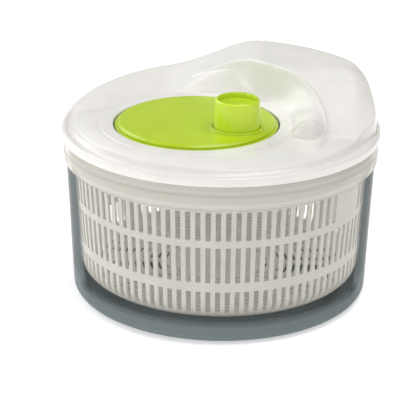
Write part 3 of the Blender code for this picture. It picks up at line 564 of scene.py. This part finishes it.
# ---- lid ----------------------------------------------------------------------------------
LID_Z, LID_TILT = 141.0, 0.022       # plain dish at the axis, and its rise towards the hood
LID_THICK = 2.4
WELL_R, WELL_FLOOR, FLOOR_THICK, HUB_BORE = 64.5, 133.0, 2.2, 10.3
PLATFORM_R, PLATFORM_TOP = 75.0, 143.2       # raised seat round the crank's well
SEAT_R = PLATFORM_R + 2.0
BLEND_R = 107.0                      # from here outwards the lid is round about the bowl's axis
SHOULDER_R, BEND_R = 102.0, 103.0
EDGE_R, EDGE_DROP, EDGE_SOFT = 113.6, 1.6, 0.07      # crisp edge where the top ends
COVE_R, GROOVE_R, GROOVE_Z = 118.2, 120.3, 135.3     # cove and groove beside the lip
BEAD_R, BEAD_HALF, BEAD_RISE = 122.6, 2.4, 2.2
LIP_LOW, LIP_TOP = 129.6, 136.4
SKIRT_OUT, SKIRT_IN = 120.5, 118.3
SWEPT_FOOT = 131.5                   # the swept edge falls to this height

# raised hood towards +X +Y
HOOD_RISE = lid_high.z - LID_Z
HOOD_START, HOOD_LENGTH = -52.0, 86.0
HOOD_STEP = 2.2                      # small step at the foot of the hood's front side
HOOD_EDGE_OUT, HOOD_COVE_OUT, HOOD_EDGE_DROP = 5.4, 1.9, 7.0     # edge along the hood's wall
HOOD_PUSH, PUSH_START, PUSH_TOP = 2.0, 112.0, 159.0  # see push_out
WALL_R = 110.0                       # the hood's height here tells how tall its wall is
CREASE_FAR, CREASE_MIDDLE = 80.2, -33.0
CREASE_ROUND, CREASE_BLEND = 14.0, 2.6       # rounding where both creases meet, and across
NOSE = -53.0                         # front end of the hood's inner face
SCOOP_Z, SCOOP_CURVE, SCOOP_BULGE = 145.5, 1.6, 3.5      # the hood's hollow inner face


def crease_x(y):
    """Plan of the crease that bounds the hood's inner face (mirrored for the back side)."""
    before_bend, behind_bend, flattens = 0.0056, 0.0082, 155.0
    away = y - CREASE_MIDDLE
    if away < 0.0:
        return CREASE_FAR - before_bend * away ** 2
    return CREASE_FAR - behind_bend * away ** 2 / (1.0 + (away / flattens) ** 2)


def crease_bead(x, y, height):
    """Thin raised bead along both creases, with a shallow groove at each of its sides."""
    bend, end, end_fade = 0.011, 45.0, 30.0
    profile = ((1.0, 0.0, 1.1), (-0.5, -2.3, 1.0), (-0.6, 2.2, 0.9))     # rise, place, width
    lift = 0.0
    for along, across, start, fade in ((y, x, -76.0, 10.0), (x, y, -32.0, 18.0)):
        slope = bend * (along - CREASE_MIDDLE)
        away = (crease_x(along) - across) / math.sqrt(1.0 + slope * slope)
        shown = smoothstep((along - start) / fade) * smoothstep((end - along) / end_fade)
        for rise, place, width in profile:
            lift += shown * rise * math.exp(-((away - place) / width) ** 2)
    return height + lift


def swept_rim(azimuth):
    """Height of the lid's edge where it sweeps up behind the crank, left of the hood."""
    starts, spans, low, rise = 176.0, 60.0, 137.0, 13.0
    t = min(1.0, max(0.0, (starts - azimuth) / spans))
    return low + rise * (0.6 * t + 0.4 * math.sin(t * math.pi / 2))


def sweep_share(azimuth):
    """1 where the swept edge replaces the beaded lip, 0 at the front and the right."""
    left, left_fade, right, right_fade = 178.0, 14.0, 6.0, 24.0
    return (smoothstep((left - azimuth) / left_fade)
            * smoothstep((azimuth - right) / right_fade))


def soft_min(a, b, reach):
    """The smaller of two lengths, rounded where they are within `reach` of each other."""
    near = max(reach - abs(a - b), 0.0) / reach
    return min(a, b) - near * near * reach / 4.0


def outside_seat(x, y):
    """Distance outside the crank's round seat, negative within it."""
    return math.hypot(x - CRANK_X, y - CRANK_Y) - SEAT_R


def dish(x, y):
    """Height of the lid's top without its hood: a tilted dish with the swept edge.

    In front, where it is near the crank, the dish is flush with the crank's seat.
    """
    front_fade, seat_fade, sweep_start, sweep_fade = 60.0, 34.0, 80.0, 38.0
    azimuth = math.degrees(math.atan2(y, x))
    towards_hood = (x + y) / math.sqrt(2.0)
    plain = LID_Z + LID_TILT * towards_hood
    in_front = smoothstep(-towards_hood / front_fade)
    flush = in_front * (1.0 - smoothstep(outside_seat(x, y) / seat_fade))
    plain += (PLATFORM_TOP - 0.2 - plain) * flush
    swept = sweep_share(azimuth) * (swept_rim(azimuth) - plain)
    return plain + swept * smoothstep((math.hypot(x, y) - sweep_start) / sweep_fade)


def hood_top(x, y, plain):
    """Height of the hood's outside, which grows out of the dish towards +X +Y."""
    step_fade, side_fade = 9.0, 20.0
    grown = smoothstep((min(x, y) - HOOD_START) / HOOD_LENGTH)
    step = HOOD_STEP * smoothstep((y - NOSE) / step_fade) * smoothstep((x - y) / side_fade)
    hood = LID_Z + step + (HOOD_RISE - step) * grown + (plain - LID_Z) * (1.0 - grown) ** 2
    return max(plain, hood)


def left_scoop(x, plain, hood, t):
    """Height of the hollow face behind the crank, t of the way from the seat to the crease."""
    ends, fade = -45.0, 35.0
    shown = smoothstep((x - ends) / fade)
    foot = plain + (SCOOP_Z - plain) * shown
    bulge = SCOOP_BULGE * shown * math.sin(math.pi * t)
    return max(plain, foot + (hood - foot) * t ** SCOOP_CURVE + bulge)


def behind_nose(x, y):
    """0 in front of the nose's rounded end, 1 behind it."""
    inner, inner_slope, outer, outer_slope, fade = 68.0, 0.56, 69.0, 1.1, 5.0
    nose = NOSE + inner_slope * max(0.0, inner - x) + outer_slope * max(0.0, x - outer)
    return smoothstep((y - nose + fade / 2) / fade)


def right_scoop(x, y, plain, hood, t):
    """Height of the hollow face right of the crank, which ends in a nose at the front."""
    nose_length, nose_bulge, nose_blunt = 20.0, 8.0, 0.4
    at_nose = math.exp(-((y - NOSE) / nose_length) ** 2)
    swell = math.sin(math.pi * t) ** (1.0 - nose_blunt * at_nose)
    bulge = (SCOOP_BULGE + nose_bulge * at_nose) * swell
    scoop = SCOOP_Z + (hood - SCOOP_Z) * t ** SCOOP_CURVE + bulge
    return plain + max(0.0, scoop - plain) * behind_nose(x, y)


def lid_body(x, y):
    """Height of the lid's top inside its shoulder: plain dish, swept edge and hood."""
    plain = dish(x, y)
    hood = hood_top(x, y, plain)
    to_crease = soft_min(crease_x(y) - x, crease_x(x) - y, CREASE_ROUND)
    if to_crease <= 0.0:
        return hood
    away = outside_seat(x, y)
    t = min(1.0, max(0.0, away / (away + to_crease))) if away > 0.0 else 0.0
    if x < y:
        scoop = left_scoop(x, plain, hood, t)
    else:
        scoop = right_scoop(x, y, plain, hood, t)
    return hood + (scoop - hood) * smoothstep(to_crease / CREASE_BLEND)


def beaded_edge(r, body):
    """Height of the lid's edge: the top bends down, falls into a cove, and the lip follows."""
    if r > GROOVE_R:
        across = min(1.0, abs(r - BEAD_R) / BEAD_HALF)
        return LIP_TOP - BEAD_RISE + BEAD_RISE * math.sqrt(1.0 - across * across)
    hooded = smoothstep((body - LID_Z - 1.0) / 10.0)
    edge_r = EDGE_R + HOOD_EDGE_OUT * hooded
    cove_r = COVE_R + HOOD_COVE_OUT * hooded
    drop = EDGE_DROP + HOOD_EDGE_DROP * smoothstep((body - LID_Z - 5.0) / 20.0)
    if r <= edge_r:
        return body - drop * smoothstep((r - BEND_R) / (edge_r - BEND_R) / 2.0) * 2.0
    t = min(1.0, (r - edge_r) / (cove_r - edge_r))
    t = max(0.0, t - EDGE_SOFT * (1.0 - math.exp(-t / EDGE_SOFT)))
    edge_z = body - drop
    return edge_z + (GROOVE_Z - edge_z) * min(1.0, 1.0 - (1.0 - t) ** 2 + 0.03 * t)


def lid_top(x, y):
    """Height of the lid's outside between the crank's seat and the groove or swept edge."""
    r = math.hypot(x, y)
    body = crease_bead(x, y, lid_body(x, y))
    if r <= SHOULDER_R:
        return body
    beaded = beaded_edge(r, body)
    t = min(1.0, (r - SHOULDER_R) / (LIP_R - SHOULDER_R))
    swept = SWEPT_FOOT + (body - SWEPT_FOOT) * (1.0 - t ** 6) ** (1 / 6)
    return beaded + sweep_share(math.degrees(math.atan2(y, x))) * (swept - beaded)


def lid_under(x, y):
    """Height of the lid's inside, one wall thickness in from the outside."""
    r = math.hypot(x, y)
    height = lid_body if r < 100.0 else lid_top
    shifts = [(r + shift) / r for shift in (-LID_THICK, 0.0, LID_THICK)]
    return min(height(x * k, y * k) for k in shifts) - LID_THICK


def well_ring(radius, z):
    """Ring about the crank's axis."""
    return circle(radius, z, FINE, CRANK_X, CRANK_Y)


def blend_ring(t, height):
    """Ring between the crank's round seat (t = 0) and the lid's own circles (t = 1)."""
    radius = SEAT_R * (1.0 - t) + BLEND_R * t
    points = circle(radius, 0.0, FINE, CRANK_X * (1.0 - t), CRANK_Y * (1.0 - t))
    return [(x, y, height(x, y)) for x, y, _ in points]


def lid_ring(radius, height):
    """Ring about the bowl's axis, raised to the height at each point."""
    return [(x, y, height(x, y)) for x, y, _ in circle(radius, 0.0, FINE)]


def push_out(points):
    """Bring the hood's wall out to the lip: it stands further out than the plain edge."""
    moved = []
    for x, y, z in points:
        r = math.hypot(x, y)
        share = sweep_share(math.degrees(math.atan2(y, x)))
        behind = lid_body(x * WALL_R / r, y * WALL_R / r)
        hooded = smoothstep((behind - LID_Z - 3.0) / 12.0)
        push = HOOD_PUSH * hooded * (1.0 - share) * smoothstep((PUSH_TOP - z) / 15.0)
        if r <= GROOVE_R:
            grown = r + push * smoothstep((r - PUSH_START) / 7.0)
        else:
            grown = r + push * max(0.0, BEAD_R - r) / (BEAD_R - GROOVE_R)
        moved.append((x * grown / r, y * grown / r, z))
    return moved


# rings over the edge and the cove, closer together where the section turns quickly
EDGE_RINGS = (108.4, 109.8, 111.0, 112.2, 113.1, EDGE_R, 113.9, 114.2, 114.6, 115.1, 115.6,
              116.2, 116.8, 117.4, 117.9, 118.4, 118.8, 119.05, 119.15, 119.25, 119.4, 119.6,
              119.8, 120.0, GROOVE_R)
INNER_RINGS = (117.0, 115.5, 114.0, 112.5, 111.0, 109.5)


def make_lid():
    """One moulded shell: well, crank seat, dish with hood and creases, beaded lip, skirt."""
    seat = [(HUB_BORE, WELL_FLOOR), (WELL_R - 1.5, WELL_FLOOR)]
    seat += arc(WELL_R - 1.0, WELL_FLOOR + 1.0, 1.0, -90.0, 0.0, 5)
    seat += arc(WELL_R + 0.9, PLATFORM_TOP - 0.9, 0.9, 180.0, 90.0, 6)
    seat += [(PLATFORM_R - 1.4, PLATFORM_TOP)]
    seat += arc(PLATFORM_R - 0.9, PLATFORM_TOP - 0.9, 0.9, 90.0, 20.0, 5)
    rings = [well_ring(r, z) for r, z in seat]
    rings += [blend_ring(t, lid_top) for t in spread(0.0, 1.0, 76)]
    rings += [push_out(lid_ring(r, lid_top)) for r in EDGE_RINGS]
    rings += [push_out(lid_ring(BEAD_R - BEAD_HALF * math.cos(a), lid_top))
              for a in spread(math.radians(12.0), math.radians(178.0), 16)]
    rings += [circle(r, z, FINE) for r, z in (
        (LIP_R, 133.2), (LIP_R, LIP_LOW + 0.7), (LIP_R - 0.2, LIP_LOW + 0.2),
        (LIP_R - 0.7, LIP_LOW), (SKIRT_OUT + 0.6, LIP_LOW), (SKIRT_OUT + 0.2, LIP_LOW - 0.5),
        (SKIRT_OUT, SKIRT_LOW + 0.4), (SKIRT_OUT - 0.4, SKIRT_LOW), (SKIRT_IN + 0.4, SKIRT_LOW),
        (SKIRT_IN, SKIRT_LOW + 0.4), (SKIRT_IN - 0.2, 130.5))]
    rings += [lid_ring(r, lid_under) for r in INNER_RINGS]
    rings += [blend_ring(t, lid_under) for t in spread(1.0, 0.0, 16)]
    outer_well = WELL_R + FLOOR_THICK
    rings += [well_ring(outer_well, PLATFORM_TOP - FLOOR_THICK - 0.4),
              well_ring(outer_well, WELL_FLOOR - FLOOR_THICK),
              well_ring(HUB_BORE, WELL_FLOOR - FLOOR_THICK)]
    shell = Shell()
    shell.loop(rings)
    lid = make_solid(shell.object("lid_fine", LID_WHITE, 50.0))
    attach(lid, "lid")
    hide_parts("lid_shell")


# ---- crank and knob -----------------------------------------------------------------------
DISC_R, DISC_TOP, DISC_UNDER = 61.3, 145.4, 142.6
FLANGE_TOP, FLANGE_LOW, FLANGE_IN = 142.0, 141.0, 60.0
RIB_LOW, RIB_OUT, RIB_IN = 140.9, 50.5, 45.2         # round rib that carries the ring gear
HUB_R, HUB_LOW, JOURNAL_R, JOURNAL_LOW = 8.5, 134.6, 6.8, 129.3
CRANK_HOLE_R, CRANK_HOLE_TOP = 1.9, 139.0
COLLAR_R, COLLAR_TOP = 20.7, 147.2
PIN_R, PIN_TOP, PIN_HOLE_R, PIN_HOLE_LOW = 6.0, 160.0, 1.7, 147.0    # pin inside the knob
BORE_R, SLEEVE_R, SLEEVE_LOW, KNOB_ROOF = 6.3, 8.6, 146.2, 158.2     # inside of the knob
CAP_R = 14.3


def make_disc():
    """Green disc: soft bevelled edge, thin flange under it, hub, and the knob's collar."""
    corners = [
        (0.0, DISC_TOP, 0.0), (DISC_R - 2.4, DISC_TOP, 1.2), (DISC_R, DISC_TOP - 1.5, 0.7),
        (DISC_R, FLANGE_TOP + 0.3, 0.0), (FLANGE_R, FLANGE_TOP, 0.3),
        (FLANGE_R, FLANGE_LOW, 0.3), (FLANGE_IN, FLANGE_LOW, 0.3),
        (FLANGE_IN, DISC_UNDER, 0.5), (RIB_OUT, DISC_UNDER, 0.5), (RIB_OUT, RIB_LOW, 0.3),
        (RIB_IN, RIB_LOW, 0.3), (RIB_IN, DISC_UNDER, 0.5), (HUB_R, DISC_UNDER, 0.8),
        (HUB_R, HUB_LOW, 0.4), (JOURNAL_R, HUB_LOW, 0.0), (JOURNAL_R, JOURNAL_LOW, 0.3),
        (CRANK_HOLE_R, JOURNAL_LOW, 0.0), (CRANK_HOLE_R, CRANK_HOLE_TOP, 0.0),
        (0.0, CRANK_HOLE_TOP, 0.0)]
    shell = Shell()
    shell.turned(rounded(corners, 5), ROUND, CRANK_X, CRANK_Y)

    foot = DISC_TOP - 0.6
    collar = [(KNOB_R + 0.3, foot), (COLLAR_R + 0.9, foot)]
    collar += arc(COLLAR_R + 0.9, DISC_TOP + 0.8, 0.8, 270.0, 180.0, 5)
    collar += arc(COLLAR_R - 0.6, COLLAR_TOP - 0.7, 0.7, 0.0, 90.0, 5)
    collar += arc(KNOB_R + 0.7, COLLAR_TOP - 0.4, 0.4, 90.0, 180.0, 4)
    shell.turned(collar, 96, KNOB_X, KNOB_Y)
    pin = [(0.0, foot), (PIN_R, foot), (PIN_R, PIN_TOP), (PIN_HOLE_R, PIN_TOP),
           (PIN_HOLE_R, PIN_HOLE_LOW), (0.0, PIN_HOLE_LOW)]
    shell.turned(pin, 48, KNOB_X, KNOB_Y)

    disc = make_solid(shell.object("crank_disc_fine", GREEN))
    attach(disc, "crank")
    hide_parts("crank_disc")


def make_knob():
    """Turning grip with a tapered side, a rounded rim and a shallow cup."""
    low, cup = DISC_TOP + 0.3, CAP_LOW - 0.3
    corners = [
        (KNOB_R, low, 0.3), (17.0, KNOB_TOP - 0.2, 2.0), (15.2, KNOB_TOP, 0.6),
        (14.7, KNOB_TOP - 1.4, 0.4), (14.6, cup, 0.0), (9.5, cup, 0.0),
        (9.5, PIN_TOP, 0.0), (BORE_R, PIN_TOP, 0.0), (BORE_R, SLEEVE_LOW, 0.0),
        (SLEEVE_R, SLEEVE_LOW, 0.0), (SLEEVE_R, KNOB_ROOF, 0.6), (15.4, KNOB_ROOF, 0.6),
        (16.2, low, 0.3)]
    shell = Shell()
    shell.turned(rounded(corners, 7), 128, KNOB_X, KNOB_Y)
    knob = make_solid(shell.object("knob_fine", LIT_KNOB_GREEN))
    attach(knob, "knob_turning")
    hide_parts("knob")


def make_cap():
    """Slightly dished cap that closes the knob's cup."""
    top = cap_high.z
    outline = [(0.0, CAP_LOW), (CAP_R, CAP_LOW)]
    outline += arc(13.9, top - 0.4, 0.4, 0.0, 90.0, 4)
    outline += [(12.6, top - 0.1), (10.0, top - 0.4), (7.0, top - 0.7), (3.5, top - 0.85),
                (0.0, top - 0.9)]
    shell = Shell()
    shell.turned(outline, 96, KNOB_X, KNOB_Y)
    cap = make_solid(shell.object("knob_cap_fine", GREEN))
    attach(cap, "knob_turning")
    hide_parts("knob_cap")


# ---- drive plate ----------------------------------------------------------------------------
PLATE_LOW, PLATE_TOP = plate_high.z - 5.5, plate_high.z - 3.5
HOLE_R, BOSS_R, BOSS_LOW, BOSS_TOP = 3.7, 8.0, 120.0, 128.8
RIM_LOW, RIM_THICK = 120.8, 1.6
STIFFENERS, STIFFENER_RISE = (88.0, 50.0), 0.7       # outer radii of the two stiffening rings
TONGUE_HALF = 5.0                    # half of a tongue's width, in degrees
TONGUE = ((PLATE_TOP - 0.6, 0.0), (97.0, 0.0), (95.2, 0.10), (94.3, 0.25), (94.0, 0.45))


def add_tongue(shell, middle):
    """A curved tongue that hangs from the plate's rim and narrows to a rounded foot."""
    across = [middle + math.radians(d) for d in spread(-TONGUE_HALF, TONGUE_HALF, 9)]
    rings = []
    for z, narrow in TONGUE:
        angles = [middle + (a - middle) * (1.0 - narrow) for a in across]
        rings.append(shell.ring(at_angles(PLATE_R - 1.9, z, angles)
                                + at_angles(PLATE_R - 0.3, z, angles[::-1])))
    for first, second in zip(rings, rings[1:]):
        shell.band(first, second)
    shell.faces.append(tuple(rings[0]))
    shell.faces.append(tuple(reversed(rings[-1])))


def make_plate():
    """Plate under the lid with stiffening rings, a centre boss and two tongues."""
    inside = PLATE_R - RIM_THICK
    corners = [
        (HOLE_R, BOSS_LOW, 0.0), (BOSS_R, BOSS_LOW, 0.4), (BOSS_R, PLATE_LOW, 1.0),
        (inside, PLATE_LOW, 0.6), (inside, RIM_LOW, 0.3), (PLATE_R, RIM_LOW, 0.5),
        (PLATE_R, PLATE_TOP, 0.8)]
    for r in STIFFENERS:
        corners += [(r, PLATE_TOP, 0.3), (r - 0.5, PLATE_TOP + STIFFENER_RISE, 0.3),
                    (r - 2.0, PLATE_TOP + STIFFENER_RISE, 0.3), (r - 2.5, PLATE_TOP, 0.3)]
    corners += [(BOSS_R, PLATE_TOP, 1.0), (BOSS_R, BOSS_TOP, 0.3), (HOLE_R, BOSS_TOP, 0.0)]
    shell = Shell()
    shell.turned(rounded(corners, 4), ROUND)
    add_tongue(shell, PANEL_AZ)
    add_tongue(shell, PANEL_AZ + math.pi)
    plate = make_solid(shell.object("drive_plate_fine", LID_WHITE))
    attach(plate, "drive")
    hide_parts("drive_plate")


# ---- kept CAD pieces --------------------------------------------------------------------------
KEPT = {
    "grip_ring": (SILICONE, "grip"), "pivot_bush": (GEAR_WHITE, "gear_white"),
    "crank_bush": (GEAR_WHITE, "gear_white"), "shaft_bush": (GEAR_WHITE, "gear_white"),
    "ring_gear": (GEAR_WHITE, "gear_white"), "drive_pinion": (GEAR_WHITE, "gear_white"),
    "gear_screw_1": (STEEL, "steel"), "gear_screw_2": (STEEL, "steel"),
    "gear_screw_3": (STEEL, "steel"), "crank_washer": (STEEL, "steel"),
    "crank_screw": (STEEL, "steel"), "knob_washer": (STEEL, "steel"),
    "knob_screw": (STEEL, "steel"), "drive_shaft": (STEEL, "steel"),
    "shaft_clip": (STEEL, "steel"), "plate_screw": (STEEL, "steel")}


def finish_kept():
    """Materials for the pieces that keep the CAD's own mesh, with softened edges."""
    for name, (material, slot) in KEPT.items():
        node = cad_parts[name]
        node.data.materials.clear()
        node.data.materials.append(material)
        bevel = node.modifiers.new("soft_edges", "BEVEL")
        bevel.width = 0.12 * MM
        bevel.segments = 2
        bevel.limit_method = "ANGLE"
        bevel.angle_limit = math.radians(40.0)


# ---- stage ----------------------------------------------------------------------------------
FLOOR_HALF = 6.0
LAMPS = (                            # name, place, width and height in metres, watts
    ("key_softbox", (-1.5, 1.0, 1.15), (1.5, 1.5), 15.0),
    ("top_softbox", (0.5, -0.2, 2.0), (1.2, 1.2), 20.5),
    ("front_softbox", (-0.5, -2.1, 0.9), (1.4, 0.9), 5.4),
    ("right_softbox", (1.7, -0.7, 1.2), (0.9, 0.9), 3.8),
    ("left_softbox", (-1.7, -0.8, 0.55), (0.24, 0.9), 5.0))
LAMP_AIM = Vector((0.0, 0.0, 0.1))
CAMERA_LENS = 142.67
CAMERA_AIM = Vector((-9.53, 0.0, 64.1)) * MM
CAMERA_DISTANCE = 1.3210
CAMERA_RISE, CAMERA_ROLL = math.radians(21.76), math.radians(0.59)


def make_floor():
    """Wide pale floor."""
    paint, _, _, shader = new_material("floor_white")
    shader.inputs["Base Color"].default_value = (0.96, 0.96, 0.96, 1.0)
    shader.inputs["Roughness"].default_value = 0.9
    shader.inputs["Specular IOR Level"].default_value = 0.1
    shader.inputs["Emission Color"].default_value = (1.0, 1.0, 1.0, 1.0)
    shader.inputs["Emission Strength"].default_value = 0.42
    mesh = bpy.data.meshes.new("floor")
    mesh.from_pydata([(x * FLOOR_HALF, y * FLOOR_HALF, 0.0)
                      for x, y in ((-1, -1), (1, -1), (1, 1), (-1, 1))], [], [(0, 1, 2, 3)])
    mesh.materials.append(paint)
    floor = bpy.data.objects.new("floor", mesh)
    bpy.context.scene.collection.objects.link(floor)


def make_surroundings():
    """A room that is brighter on the left, which the glossy plastic reflects."""
    world = bpy.data.worlds.new("studio")
    bpy.context.scene.world = world
    world.use_nodes = True
    nodes, links = world.node_tree.nodes, world.node_tree.links
    place = nodes.new("ShaderNodeTexCoord")
    split = nodes.new("ShaderNodeSeparateXYZ")
    links.new(place.outputs["Generated"], split.inputs["Vector"])
    across = nodes.new("ShaderNodeMapRange")
    across.inputs["From Min"].default_value = -1.0
    links.new(split.outputs["X"], across.inputs["Value"])
    wall = ramp(nodes, [(0.0, 1.0), (0.45, (0.80, 0.79, 0.77)), (1.0, (0.24, 0.21, 0.19))])
    links.new(across.outputs["Result"], wall.inputs["Fac"])
    links.new(wall.outputs["Color"], nodes["Background"].inputs["Color"])
    nodes["Background"].inputs["Strength"].default_value = 0.50


def make_lamps():
    """Soft light from above, the front and both sides, aimed at the spinner."""
    for name, place, (width, height), power in LAMPS:
        light = bpy.data.lights.new(name, "AREA")
        light.shape = "RECTANGLE"
        light.size = width
        light.size_y = height
        light.energy = power
        lamp = bpy.data.objects.new(name, light)
        bpy.context.scene.collection.objects.link(lamp)
        lamp.location = place
        lamp.rotation_euler = (LAMP_AIM - lamp.location).to_track_quat("-Z", "Y").to_euler()


def make_camera():
    """Camera in front of the spinner, looking down at its lid."""
    data = bpy.data.cameras.new("camera")
    data.sensor_width = 36.0
    data.lens = CAMERA_LENS
    camera = bpy.data.objects.new("camera", data)
    bpy.context.scene.collection.objects.link(camera)
    away = Vector((0.0, -math.cos(CAMERA_RISE), math.sin(CAMERA_RISE)))
    camera.location = CAMERA_AIM + CAMERA_DISTANCE * away
    camera.rotation_mode = "QUATERNION"
    turn = (CAMERA_AIM - camera.location).to_track_quat("-Z", "Y")
    camera.rotation_quaternion = turn @ Quaternion((0.0, 0.0, 1.0), CAMERA_ROLL)
    bpy.context.scene.camera = camera


bpy.context.scene.view_settings.view_transform = "Standard"
make_floor()
make_surroundings()
make_lamps()
make_camera()
make_bowl()
make_basket()
make_lid()
make_disc()
make_knob()
make_cap()
make_plate()
finish_kept()
